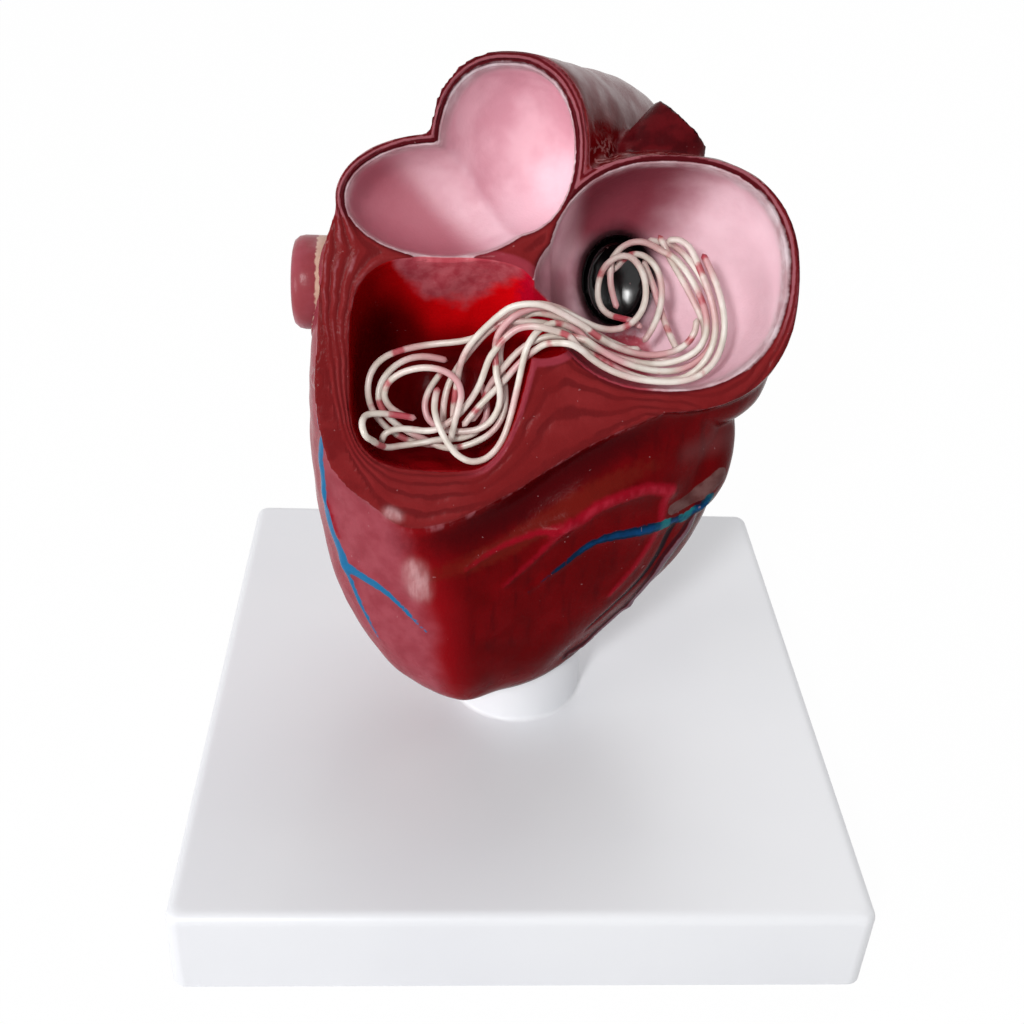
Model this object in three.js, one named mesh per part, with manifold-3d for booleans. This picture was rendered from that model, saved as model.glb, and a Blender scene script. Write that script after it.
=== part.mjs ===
// A dog heart teaching model: a section through a life-size heart with heartworms in it,
// turning on a peg in the post of a square moulded stand.
// Millimetres, +Z up. The origin is the middle of the stand's underside, -Y is the front.

import * as THREE from 'three';
import { mergeVertices } from 'three/addons/utils/BufferGeometryUtils.js';
import Module from 'manifold-3d';

// Clearances
const FIT = 0.3;          // between a piece and the seat that it is glued or set into
const TURNING_FIT = 0.35; // between the peg and the bores that it turns in

// Stand
const BASE_SIDE = 140;    // across the flats of the top face
const BASE_HEIGHT = 20.5;
const BASE_DRAFT = 1.8;   // how far each side leans out from top to bottom
const BASE_CORNER = 5.5;
const BASE_EDGE = 2.2;    // rounding round the top face
const BASE_WALL = 2.6;
const BASE_RIB = 2.2;
const BOSS_RADIUS = 9;
const SCREW_RECESS = 6;   // how far up the boss starts
const POST_RADIUS = 15.3;
const POST_HEIGHT = 30;
const POST_TAPER = 0.5;
const POST_FOOT = 0.8;    // fillet at the foot

// Fasteners and peg
const SCREW_RADIUS = 2;
const SCREW_LENGTH = 22;
const SCREW_HEAD_RADIUS = 3.8;
const SCREW_HEAD = 2.6;
const WASHER_RADIUS = 6;
const WASHER_THICKNESS = 1;
const PEG_RADIUS = 3;
const PEG_IN_POST = 14;
const PEG_IN_HEART = 20;
const BUSH_RADIUS = 5.6;
const BUSH_FLOOR = 3;     // closed end of the bush above the peg

// The section plane leans back and passes through the lowest corner of the cut face
const SECTION_LEAN = THREE.MathUtils.degToRad(25);
const SECTION_POINT = new THREE.Vector3(0, -25, 62.7);

// Heart: heights in it are from the level of the stand's top face
const HEART_SEAT = 30;    // height at which the heart rests on the post
const APEX_HEIGHT = 10.5;
const WAIST_HEIGHT = 74.5; // where the body is widest
const BODY_TOP = 117;
const BODY_WIDTH = 88;
const BODY_FRONT = 26;    // from the long axis to the front
const BODY_BACK = 33;
const APEX_SHIFT = new THREE.Vector2(-7, -18); // the apex lies to the front left
const KEEL = 8.6;          // ridge down the front left
const KEEL_ANGLE = THREE.MathUtils.degToRad(-136);
const KEEL_SPREAD = [25, 35].map(THREE.MathUtils.degToRad); // to its left and right
const GROOVE = 3.4;       // hollow under the lip of the section
const GROOVE_WIDTH = 5;
const GROOVE_DROP = 6;    // how far below the lip its middle runs
const LIP_RISE = 22;      // how far the lip climbs from the section's corner to its right end
const LIP_SWEEP = THREE.MathUtils.degToRad(109); // angle between them
const BODY_MIDDLE = new THREE.Vector2(-0.5, 6);
const CHAMBER_RIM = 2.6;  // wall round the upper chambers
const BOWL_RIM = 2.8;     // wall round the right chamber
const BOWL_LIP = 2.4;     // how much thicker its lower wall is
const UPPER_DEPTH = 27;   // how far the outside of each chamber runs on behind the section
const LOWER_DEPTH = 21;
const BOWL_DEPTH = 24;

const smooth = { roughness: 0.3, metalness: 0 };
const finish = {
  stand: new THREE.MeshStandardMaterial({ color: 0xeceef2, ...smooth }),
  steel: new THREE.MeshStandardMaterial({ color: 0xb4b6ba, roughness: 0.35, metalness: 1 }),
  bush: new THREE.MeshStandardMaterial({ color: 0xd8d4cc, roughness: 0.5, metalness: 0 }),
  heart: new THREE.MeshStandardMaterial({ color: 0x7d1420, ...smooth }),
  worm: new THREE.MeshStandardMaterial({ color: 0xd8c8b8, roughness: 0.45, metalness: 0 }),
};

const wasm = await Module();
wasm.setup();

// Joining and cutting

function toSolid(geometry, matrix) {
  const closed = geometry.clone();
  if (matrix) closed.applyMatrix4(matrix);
  for (const name of Object.keys(closed.attributes)) {
    if (name !== 'position') closed.deleteAttribute(name);
  }
  const merged = mergeVertices(closed, 1e-4);
  const triVerts = [];
  const index = merged.index.array;
  for (let i = 0; i < index.length; i += 3) {
    const [a, b, c] = [index[i], index[i + 1], index[i + 2]];
    if (a !== b && b !== c && a !== c) triVerts.push(a, b, c);
  }
  const vertProperties = new Float32Array(merged.attributes.position.array);
  const mesh = new wasm.Mesh({ numProp: 3, vertProperties, triVerts: new Uint32Array(triVerts) });
  return new wasm.Manifold(mesh);
}

function toGeometry(solid) {
  const mesh = solid.getMesh();
  const geometry = new THREE.BufferGeometry();
  geometry.setAttribute('position', new THREE.BufferAttribute(new Float32Array(mesh.vertProperties), 3));
  geometry.setIndex([...mesh.triVerts]);
  geometry.computeVertexNormals();
  return geometry;
}

function piece(name, geometry, material) {
  const mesh = new THREE.Mesh(geometry, material);
  mesh.name = name;
  return mesh;
}

// Shapes used more than once

function turned(profile, segments = 32) {
  const points = profile.map(([r, z]) => new THREE.Vector2(r, z));
  return new THREE.LatheGeometry(points, segments).rotateX(Math.PI / 2);
}

function cylinder(radius, from, to, segments = 32) {
  return turned([[0, from], [radius, from], [radius, to], [0, to]], segments);
}

function roundedRectangle(width, depth, corner) {
  const [x, y] = [width / 2, depth / 2];
  const shape = new THREE.Shape();
  shape.moveTo(x, -y + corner);
  shape.lineTo(x, y - corner);
  shape.absarc(x - corner, y - corner, corner, 0, Math.PI / 2);
  shape.lineTo(-x + corner, y);
  shape.absarc(-x + corner, y - corner, corner, Math.PI / 2, Math.PI);
  shape.lineTo(-x, -y + corner);
  shape.absarc(-x + corner, -y + corner, corner, Math.PI, 1.5 * Math.PI);
  shape.lineTo(x - corner, -y);
  shape.absarc(x - corner, -y + corner, corner, 1.5 * Math.PI, 2 * Math.PI);
  return shape;
}

// An ellipsoid whose poles lie along z. Blunt ones have flatter ends and straighter sides,
// square ones have a squarer outline across z, and lean slides the middle sideways with depth.
function swelling({ at, half, blunt = 2, square = 2, lean = [0, 0], segments = [32, 16] }) {
  const geometry = new THREE.SphereGeometry(1, ...segments).rotateX(Math.PI / 2);
  const position = geometry.attributes.position;
  const p = new THREE.Vector3();
  for (let i = 0; i < position.count; i++) {
    p.fromBufferAttribute(position, i);
    const out = Math.sign(p.z) * Math.abs(p.z) ** (2 / blunt);
    const across = Math.hypot(p.x, p.y);
    const girth = across < 1e-6 ? 0 : across ** (2 / blunt) / across;
    const spread = across < 1e-6
      ? 1
      : across / (Math.abs(p.x) ** square + Math.abs(p.y) ** square) ** (1 / square);
    p.set(p.x * girth * spread * half[0], p.y * girth * spread * half[1], out * half[2]);
    p.z += at[2];
    p.x += at[0] - lean[0] * p.z;
    p.y += at[1] - lean[1] * p.z;
    position.setXYZ(i, p.x, p.y, p.z);
  }
  return geometry;
}

// Stand

function drafted(geometry) {
  const position = geometry.attributes.position;
  for (let i = 0; i < position.count; i++) {
    const grow = 1 + (2 * BASE_DRAFT / BASE_SIDE) * (1 - position.getZ(i) / BASE_HEIGHT);
    position.setXY(i, position.getX(i) * grow, position.getY(i) * grow);
  }
  return geometry;
}

function makeBase() {
  const block = new THREE.ExtrudeGeometry(
    roundedRectangle(BASE_SIDE - 2 * BASE_EDGE, BASE_SIDE - 2 * BASE_EDGE, BASE_CORNER - BASE_EDGE),
    { depth: BASE_HEIGHT - BASE_EDGE, bevelThickness: BASE_EDGE, bevelSize: BASE_EDGE, bevelSegments: 3,
      curveSegments: 5 },
  );
  // The bevel rounds both ends, so the lower one is cut away
  const skirt = toSolid(drafted(block)).subtract(toSolid(
    new THREE.BoxGeometry(2 * BASE_SIDE, 2 * BASE_SIDE, 2 * BASE_EDGE).translate(0, 0, -BASE_EDGE),
  ));
  const bay = (BASE_SIDE - 2 * BASE_WALL - BASE_RIB) / 2;
  const middle = (bay + BASE_RIB) / 2;
  const boss = toSolid(cylinder(BOSS_RADIUS, SCREW_RECESS, BASE_HEIGHT, 24));
  let base = skirt;
  for (const [sx, sy] of [[1, 1], [-1, 1], [-1, -1], [1, -1]]) {
    const hollow = drafted(new THREE.ExtrudeGeometry(roundedRectangle(bay, bay, BASE_CORNER - BASE_WALL), {
      depth: BASE_HEIGHT - BASE_WALL + 1, bevelEnabled: false, curveSegments: 3,
    }).translate(sx * middle, sy * middle, -1));
    base = base.subtract(toSolid(hollow).subtract(boss));
  }
  const mouth = toSolid(cylinder(BOSS_RADIUS, -1, SCREW_RECESS, 24));
  const hole = toSolid(cylinder(SCREW_RADIUS + FIT, -1, BASE_HEIGHT + 1, 16));
  return piece('base_shell', toGeometry(base.subtract(mouth).subtract(hole)), finish.stand);
}

const POST_TOP_RADIUS = POST_RADIUS - POST_TAPER;
const SCREW_TIP = SCREW_RECESS - WASHER_THICKNESS + SCREW_LENGTH; // above the underside of the stand

function makePost() {
  const pilot = SCREW_TIP - BASE_HEIGHT + 1.5;
  const edge = 0.8;
  const post = piece('post', turned([
    [0, pilot],
    [SCREW_RADIUS + FIT, pilot],
    [SCREW_RADIUS + FIT, 0],
    [POST_RADIUS + POST_FOOT, 0],
    [POST_RADIUS + 0.3 * POST_FOOT, 0.3 * POST_FOOT],
    [POST_RADIUS, POST_FOOT],
    [POST_TOP_RADIUS, POST_HEIGHT - edge],
    [POST_TOP_RADIUS - edge, POST_HEIGHT],
    [PEG_RADIUS + TURNING_FIT, POST_HEIGHT],
    [PEG_RADIUS + TURNING_FIT, POST_HEIGHT - PEG_IN_POST],
    [0, POST_HEIGHT - PEG_IN_POST],
  ], 36), finish.stand);
  post.position.z = BASE_HEIGHT;
  return post;
}

function makeScrew() {
  const head = SCREW_RECESS - WASHER_THICKNESS;
  const body = toSolid(turned([
    [0, -SCREW_HEAD],
    [0.6 * SCREW_HEAD_RADIUS, -SCREW_HEAD],
    [SCREW_HEAD_RADIUS, -0.5 * SCREW_HEAD],
    [SCREW_HEAD_RADIUS, 0],
    [SCREW_RADIUS, 0],
    [SCREW_RADIUS, SCREW_LENGTH - 2 * SCREW_RADIUS],
    [0, SCREW_LENGTH],
  ], 20));
  const slot = 0.9;
  const drive = [[5 * slot, slot], [slot, 5 * slot]].map(([x, y]) => toSolid(
    new THREE.BoxGeometry(x, y, 3).translate(0, 0, -SCREW_HEAD),
  ));
  const screw = piece('post_screw', toGeometry(body.subtract(drive[0].add(drive[1]))), finish.steel);
  screw.position.z = head;
  return screw;
}

function makeWasher() {
  const bore = SCREW_RADIUS + FIT;
  const washer = piece('screw_washer', turned([
    [bore, 0],
    [WASHER_RADIUS, 0],
    [WASHER_RADIUS, WASHER_THICKNESS],
    [bore, WASHER_THICKNESS],
    [bore, 0],
  ], 24), finish.steel);
  washer.position.z = SCREW_RECESS - WASHER_THICKNESS;
  return washer;
}

// Peg and bush

const SEAT = BASE_HEIGHT + POST_HEIGHT; // the post's top face

function makePeg() {
  const chamfer = 0.6;
  const [from, to] = [SEAT - PEG_IN_POST + FIT, SEAT + PEG_IN_HEART];
  return piece('swivel_peg', turned([
    [0, from],
    [PEG_RADIUS - chamfer, from],
    [PEG_RADIUS, from + chamfer],
    [PEG_RADIUS, to - chamfer],
    [PEG_RADIUS - chamfer, to],
    [0, to],
  ], 24), finish.steel);
}

const BUSH_FOOT = SEAT + FIT;
const BUSH_TOP = SEAT + PEG_IN_HEART + FIT + BUSH_FLOOR;

function makeBush() {
  const bore = PEG_RADIUS + TURNING_FIT;
  const roof = BUSH_TOP - BUSH_FLOOR;
  return piece('heart_bush', turned([
    [bore, BUSH_FOOT],
    [BUSH_RADIUS, BUSH_FOOT],
    [BUSH_RADIUS, BUSH_TOP],
    [0, BUSH_TOP],
    [0, roof],
    [bore, roof],
    [bore, BUSH_FOOT],
  ], 24), finish.bush);
}

// Heart

const heartFrame = new THREE.Matrix4().makeTranslation(0, 0, SEAT - HEART_SEAT);
const sectionFrame = heartFrame.clone()
  .multiply(new THREE.Matrix4().makeTranslation(SECTION_POINT))
  .multiply(new THREE.Matrix4().makeRotationX(Math.PI / 2 - SECTION_LEAN));

function ventricleBody() {
  const geometry = new THREE.SphereGeometry(1, 54, 36).rotateX(Math.PI / 2);
  const position = geometry.attributes.position;
  for (let i = 0; i < position.count; i++) {
    const [x, y, z] = [position.getX(i), position.getY(i), position.getZ(i)];
    const height = z < 0
      ? WAIST_HEIGHT + z * (WAIST_HEIGHT - APEX_HEIGHT)
      : WAIST_HEIGHT + z * (BODY_TOP - WAIST_HEIGHT);
    const girth = Math.hypot(x, y) ** (z < 0 ? 1 : 0.4);
    const angle = Math.atan2(y, x);
    const below = Math.max(0, -z);
    const [a, b] = [BODY_WIDTH / 2, y < 0 ? BODY_FRONT : BODY_BACK];
    const power = x < 0 && y < 0 ? 2.5 : 2;
    const oval = (Math.abs(Math.cos(angle) / a) ** power + Math.abs(Math.sin(angle) / b) ** power)
      ** (-1 / power);
    const turn = Math.atan2(Math.sin(angle - KEEL_ANGLE), Math.cos(angle - KEEL_ANGLE));
    const keel = KEEL * Math.sqrt(girth) * Math.exp(-(Math.abs(turn / KEEL_SPREAD[turn < 0 ? 0 : 1]) ** 1.5));
    const round = THREE.MathUtils.clamp(turn / LIP_SWEEP, 0, 1);
    const lipHeight = SECTION_POINT.z + LIP_RISE * THREE.MathUtils.smoothstep(round, 0, 1);
    const groove = GROOVE * Math.sin(Math.PI * round) ** 0.7
      * Math.exp(-(((height - lipHeight + GROOVE_DROP) / GROOVE_WIDTH) ** 2));
    const reach = oval * girth + keel - groove;
    position.setXYZ(
      i,
      BODY_MIDDLE.x + APEX_SHIFT.x * below ** 2.5 + reach * Math.cos(angle),
      BODY_MIDDLE.y + APEX_SHIFT.y * below ** 2 + reach * Math.sin(angle),
      height,
    );
  }
  return geometry;
}

// Middles, half sizes and depths in the section's frame: to the right, up the section, and out of it
const cavities = {
  upperChamber: { at: [-7.2, 69.9, 0], half: [11.7, 15.2, 17], blunt: 2.6, lean: [0.3, 0] },
  lowerChamber: { at: [-19.2, 61.2, 0], half: [17.6, 10.3, 14], blunt: 2.4 },
  ventricle: { at: [-17.4, 30, 0], half: [18.7, 20, 25], blunt: 2.6, square: 3 },
  rightChamber: { at: [24, 47.6, 0], half: [22.6, 20.9, 20], blunt: 2.4, square: 2.2 },
  passage: { at: [0, 38.5, 0], half: [8, 6.6, 8] },
  lumen: { at: [14.8, 47.2, -18], half: [6.9, 8.8, 15], blunt: 2.6, lean: [0.1, 0] },
};

// The outside of a chamber is its hollow with a wall round it, carried on behind the section
function walled({ at, half }, wall, lip, behind, rest) {
  return {
    at: [at[0], at[1] - lip / 2, -behind / 2],
    half: [half[0] + wall, half[1] + wall + lip / 2, behind],
    ...rest,
  };
}

// The left wall, beside the ventricle and the lower of the upper chambers
const SHOULDER = { at: [-30, 45, -13], half: [12.5, 20, 15], blunt: 3 };

const outside = [
  walled(cavities.upperChamber, CHAMBER_RIM, 0, UPPER_DEPTH, { blunt: 5, lean: [0.58, 0] }),
  walled(cavities.lowerChamber, CHAMBER_RIM, 0, LOWER_DEPTH, { blunt: 3.5 }),
  walled(cavities.rightChamber, BOWL_RIM, BOWL_LIP, BOWL_DEPTH, { blunt: 3, square: 2.2 }),
  SHOULDER,
];

// A vessel that leaves the top of the heart behind the section and is cut off square
const CUT_VESSEL = { from: [14.5, 62.5, -14], to: [27.7, 77.2, -14], radius: 7, bore: 4, depth: 4 };

function alongVessel({ from, to }) {
  const [start, end] = [new THREE.Vector3(...from), new THREE.Vector3(...to)];
  const turn = new THREE.Quaternion().setFromUnitVectors(
    new THREE.Vector3(0, 0, 1), end.clone().sub(start).normalize(),
  );
  const placed = new THREE.Matrix4().makeRotationFromQuaternion(turn).setPosition(end);
  const frame = sectionFrame.clone().multiply(placed);
  return { frame, length: end.distanceTo(start) };
}

// The vein stub is a moulding of its own, glued into a round socket in the left wall
const STUB_SOCKET = 5.5;    // how far its foot lies inside the widest part of the body
const VEIN_STUB = {
  at: [STUB_SOCKET - BODY_WIDTH / 2, 9, 96.5], length: 9.8, radius: 9.3, bore: 4.5, depth: 3, edge: 2,
};
const stubFrame = heartFrame.clone()
  .multiply(new THREE.Matrix4().makeTranslation(...VEIN_STUB.at))
  .multiply(new THREE.Matrix4().makeRotationY(-Math.PI / 2));

function makeVeinStub() {
  const { length, radius, bore, depth, edge } = VEIN_STUB;
  const stub = piece('vein_stub', turned([
    [0, 0],
    [radius, 0],
    [radius, length - edge],
    [radius - 0.3 * edge, length - 0.3 * edge],
    [radius - edge, length],
    [bore, length],
    [0.8 * bore, length - depth],
    [0, length - depth],
  ], 28), finish.heart);
  stub.applyMatrix4(stubFrame);
  return stub;
}

function makeHeart() {
  const inSection = (form) => toSolid(swelling(form), sectionFrame);
  let heart = toSolid(ventricleBody(), heartFrame);
  for (const form of outside) heart = heart.add(inSection(form));
  const vessel = alongVessel(CUT_VESSEL);
  heart = heart.add(toSolid(cylinder(CUT_VESSEL.radius, -vessel.length, 0, 24), vessel.frame));
  heart = heart.subtract(toSolid(cylinder(CUT_VESSEL.bore, -CUT_VESSEL.depth, 1, 16), vessel.frame));
  const front = new THREE.BoxGeometry(4 * BODY_WIDTH, 4 * BODY_WIDTH, BODY_WIDTH)
    .translate(0, 0, BODY_WIDTH / 2);
  heart = heart.subtract(toSolid(front, sectionFrame));
  for (const form of Object.values(cavities)) heart = heart.subtract(inSection(form));
  const socket = cylinder(POST_RADIUS + 2 * FIT, 0, SEAT + FIT, 40);
  const bushHole = cylinder(BUSH_RADIUS + FIT, SEAT, BUSH_TOP + FIT, 24);
  const veinSocket = cylinder(VEIN_STUB.radius + FIT, -FIT, 2 * VEIN_STUB.length, 28);
  heart = heart.subtract(toSolid(socket)).subtract(toSolid(bushHole));
  heart = heart.subtract(toSolid(veinSocket, stubFrame));
  return piece('heart_casting', toGeometry(heart), finish.heart);
}

// Worms

const WORM_RADIUS = 0.68;
const WORM_GAP = 0.5;      // least room left between two strands
const WORM_STEP = 2.6;     // between rings of a strand
const WORM_SIDES = 6;
const WORM_SAMPLE = 1;     // between the points that are pushed apart
const WORM_ROUNDS = 160;

// Each strand's route in the section's own frame: to the right, up the section, and how deep it lies
const wormRoutes = [
  [
    [-18, 14, 9], [-23, 13.5, 9], [-30, 17, 8], [-33.5, 24, 5], [-32, 30.5, 6], [-24.5, 33, 8],
    [-19.5, 34, 8], [-12.5, 34.5, 6], [-6, 39.5, 4], [-2.5, 42.5, 4], [3.5, 41.5, 3], [9, 37.5, 6],
    [13, 35.5, 8], [18.5, 33.5, 9], [22, 32.5, 9],
  ],
  [
    [-17.5, 30.5, 9], [-24, 32, 7], [-29.5, 28.5, 7], [-32, 23, 5], [-27.5, 17.5, 7], [-21, 14.5, 7],
    [-13.5, 14, 5], [-8, 17, 5], [-5.5, 23, 5], [-8, 30.5, 4], [-7.5, 37, 3], [-2, 40.5, 2],
    [4.5, 40, 3], [11.5, 35, 6], [17, 33.5, 7], [21, 33, 8],
  ],
  [
    [-24, 19.5, 6], [-30, 21, 5], [-30.5, 26, 3], [-24.5, 29.5, 2.5], [-17.5, 29.5, 2],
    [-13.5, 25.5, 2], [-16, 20.5, 2.5], [-17, 14.5, 6],
  ],
  [
    [-18, 25.5, 6], [-21, 22, 3], [-19, 18, 1.5], [-16.5, 13, 1], [-12, 10, 1], [-7, 14, 1.5],
    [-5, 21, 2], [-3.5, 29, 1.5], [-1.5, 36.5, 1], [2, 40, 1], [8.5, 35.5, 3], [13, 33, 4],
    [21.5, 31, 5], [30, 31.5, 4], [34, 37.5, 4], [33, 42, 5], [31, 46.5, 7], [28.5, 50, 9],
    [23.5, 55, 13], [17, 55, 17], [14.5, 48, 18], [16.5, 41.5, 15],
  ],
  [
    [-18.5, 28.5, 8], [-22.5, 23.5, 7], [-22, 18, 6], [-15, 16.5, 5], [-8.5, 17.5, 5], [-6.5, 23, 4],
    [-8.5, 29.5, 3], [-8.5, 35.5, 2], [-5, 41, 1], [0.5, 42, 1], [6.5, 39, 3], [12.5, 37, 6],
    [18, 37.5, 7], [21.5, 42, 8], [21, 49, 10], [17.5, 53.5, 14], [13.5, 49, 18], [12, 44.5, 18],
    [14, 39.5, 14], [19.5, 40, 10], [21.5, 37.5, 9],
  ],
  [
    [-18.5, 17, 6], [-18.5, 22.5, 5], [-16.5, 28, 6.5], [-13.5, 32.5, 5], [-9.5, 37.5, 3],
    [-3.5, 40, 2], [4, 39, 3.5], [10.5, 34.5, 5], [18.5, 31.5, 7], [22.5, 31.5, 8],
  ],
  [
    [-16.5, 16.5, 6], [-16.5, 22, 6], [-16, 27, 5.5], [-15, 32, 4], [-11.5, 36.5, 2], [-6, 41, 0.5],
    [0.5, 42.5, 0], [7, 38.5, 2], [14.5, 34, 4.5], [23, 32, 6], [27.5, 33, 6], [32, 37.5, 5.5],
    [31.5, 40.5, 6],
  ],
  [
    [-31, 11.5, 5], [-31, 16.5, 4], [-26.5, 18, 5], [-19, 16, 5], [-15, 20, 4], [-11, 26, 3.5],
    [-9.5, 32, 2], [-6.5, 37.5, 1], [-1.5, 38.5, 0], [5.5, 36, 1], [9.5, 33.5, 2], [17.5, 29.5, 3],
    [25.5, 27.5, 3], [32.5, 31, 2.5], [35, 37.5, 3], [34, 42.5, 3.5], [31, 50, 5.5], [28, 56.5, 7.5],
    [25, 55, 10],
  ],
  [
    [-23, 19.5, 6], [-30.5, 20.5, 3], [-35.5, 20.5, 1.5], [-34.5, 15, 1], [-30.5, 12.5, 3],
    [-26.5, 14, 7], [-19.5, 14.5, 6.5], [-12, 15.5, 6], [-8.5, 20, 7.5], [-11, 26.5, 7.5],
  ],
  [
    [-13, 17, 5], [-10, 23.5, 5], [-6.5, 29, 4], [-3, 34, 2], [2, 37, 1], [8, 35, 1.5], [15.5, 31, 2.5],
    [24, 29, 3.5], [32, 32, 3.5], [34.5, 39.5, 4.5], [32, 47.5, 7], [27.5, 54, 11], [21.5, 55.5, 15],
  ],
  [
    [-15.5, 17.5, 4], [-11, 22.5, 4], [-7.5, 27.5, 3.5], [-3.5, 32.5, 2], [2, 36, 0], [8, 33, 1],
    [15, 29, 2], [22.5, 26.5, 1.5], [30, 28, 1.5], [35, 33.5, 1.5], [35.5, 41.5, 2.5], [33, 49.5, 5],
    [31, 52.5, 6.5],
  ],
  [
    [14.5, 48.5, 19], [18.5, 53.5, 15], [23.5, 51, 11], [25, 44.5, 9.5], [23, 37.5, 8.5], [21, 35, 8.5],
  ],
  [
    [24, 55.5, 13], [28, 48.5, 9.5], [30, 44.5, 8], [32, 40.5, 6.5], [34, 35, 4.5], [28, 31.5, 5.5],
    [21, 32.5, 8],
  ],
  [
    [21, 52, 14], [23.5, 45.5, 12], [25.5, 38.5, 10], [28, 33.5, 8],
  ],
];

// How far a point is into the wall of one cavity, and the way out of it
function wallOf({ at, half, blunt = 2, square = 2, lean = [0, 0] }, p) {
  const depth = Math.min(p.z, 0);
  const q = new THREE.Vector3(
    p.x - at[0] + lean[0] * depth,
    p.y - at[1] + lean[1] * depth,
    Math.min(depth - at[2], 0),
  );
  const outline = (Math.abs(q.x / half[0]) ** square + Math.abs(q.y / half[1]) ** square) ** (1 / square);
  const level = (outline ** blunt + Math.abs(q.z / half[2]) ** blunt) ** (1 / blunt);
  if (level < 1e-3) return { into: -half[0], way: q };
  return { into: q.length() * (1 - 1 / level), way: q.normalize().negate() };
}

function keepClear(p) {
  const room = WORM_RADIUS + WORM_GAP;
  let least = { into: -p.z, way: new THREE.Vector3(0, 0, 1) };
  for (const name of ['ventricle', 'rightChamber', 'passage', 'lumen']) {
    const wall = wallOf(cavities[name], p);
    if (wall.into < least.into) least = wall;
  }
  if (least.into + room > 0) p.addScaledVector(least.way, 0.6 * (least.into + room));
}

// Moves the points of two strands, or of one strand past its own bend, out of each other's way
function pushApart(one, other, apart) {
  const ownBend = Math.ceil(2.5 * apart / WORM_SAMPLE);
  const away = new THREE.Vector3();
  for (let i = 0; i < one.length; i++) {
    for (let j = one === other ? i + ownBend : 0; j < other.length; j++) {
      if (Math.abs(one[i].x - other[j].x) > apart || Math.abs(one[i].y - other[j].y) > apart) continue;
      away.subVectors(one[i], other[j]);
      const distance = away.length();
      if (distance >= apart) continue;
      if (distance < 1e-3) away.set(0, 0, 1);
      away.setLength(0.3 * (apart - distance));
      one[i].add(away);
      other[j].sub(away);
    }
  }
}

function layWorms() {
  const spline = (points) => new THREE.CatmullRomCurve3(points, false, 'centripetal');
  const homes = wormRoutes.map((route) => {
    const curve = spline(route.map(([x, up, depth]) => new THREE.Vector3(x, up, -depth)));
    return curve.getSpacedPoints(Math.ceil(curve.getLength() / WORM_SAMPLE));
  });
  const strands = homes.map((points) => points.map((p) => p.clone()));
  const apart = 2 * WORM_RADIUS + WORM_GAP;
  const gap = new THREE.Vector3();
  for (let round = 0; round < WORM_ROUNDS; round++) {
    const settling = round < 0.75 * WORM_ROUNDS;
    strands.forEach((points, s) => {
      for (let i = 1; i < points.length - 1; i++) {
        gap.addVectors(points[i - 1], points[i + 1]).multiplyScalar(0.5).sub(points[i]);
        points[i].addScaledVector(gap, settling ? 0.35 : 0.1);
        if (settling) points[i].lerp(homes[s][i], 0.03);
      }
    });
    for (let s = 0; s < strands.length; s++) {
      for (let t = s; t < strands.length; t++) pushApart(strands[s], strands[t], apart);
    }
    for (const points of strands) points.forEach(keepClear);
  }
  return strands.map(spline);
}

// Least distance between the surfaces of two strands, or of one strand past its own bend
function leastGap(one, other) {
  const ownBend = Math.ceil(5 * WORM_RADIUS / WORM_SAMPLE);
  let least = Infinity;
  one.forEach((p, i) => {
    for (let j = one === other ? i + ownBend : 0; j < other.length; j++) {
      least = Math.min(least, p.distanceTo(other[j]));
    }
  });
  return least - 2 * WORM_RADIUS;
}

function makeWorms() {
  const section = new THREE.Shape();
  for (let i = 0; i < WORM_SIDES; i++) {
    const turn = (2 * Math.PI * i) / WORM_SIDES;
    const corner = [WORM_RADIUS * Math.cos(turn), WORM_RADIUS * Math.sin(turn)];
    if (i === 0) section.moveTo(...corner);
    else section.lineTo(...corner);
  }
  section.closePath();
  const curves = layWorms();
  const points = curves.map((curve) => curve.getSpacedPoints(Math.ceil(curve.getLength() / WORM_SAMPLE)));
  return curves.map((curve, i) => {
    const name = `worm_${String(i + 1).padStart(2, '0')}`;
    const steps = Math.round(curve.getLength() / WORM_STEP);
    const strand = new THREE.ExtrudeGeometry(section, { steps, extrudePath: curve, bevelEnabled: false });
    const gaps = points.map((other) => leastGap(points[i], other));
    const nearest = Math.min(...gaps.filter((gap, j) => j !== i));
    console.log(name, `${curve.getLength().toFixed(0)} mm, least gap to itself ${gaps[i].toFixed(2)} mm,`,
      `to another ${nearest.toFixed(2)} mm`);
    return piece(name, strand, finish.worm);
  });
}

const section = new THREE.Group();
section.applyMatrix4(sectionFrame);
section.add(...makeWorms());

const model = new THREE.Group();
model.add(makeBase(), makePost(), makeScrew(), makeWasher());
model.add(makePeg(), makeBush(), makeHeart(), makeVeinStub(), section);

export default model;
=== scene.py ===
"""Looks of the dog heart model: a painted section casting with worm strands, on a square white stand.

Lengths in this file are millimetres until a mesh is made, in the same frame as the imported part.
"""
import math
from types import SimpleNamespace
import bmesh
import bpy
import numpy as np
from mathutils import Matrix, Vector, noise
from mathutils.bvhtree import BVHTree


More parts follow.
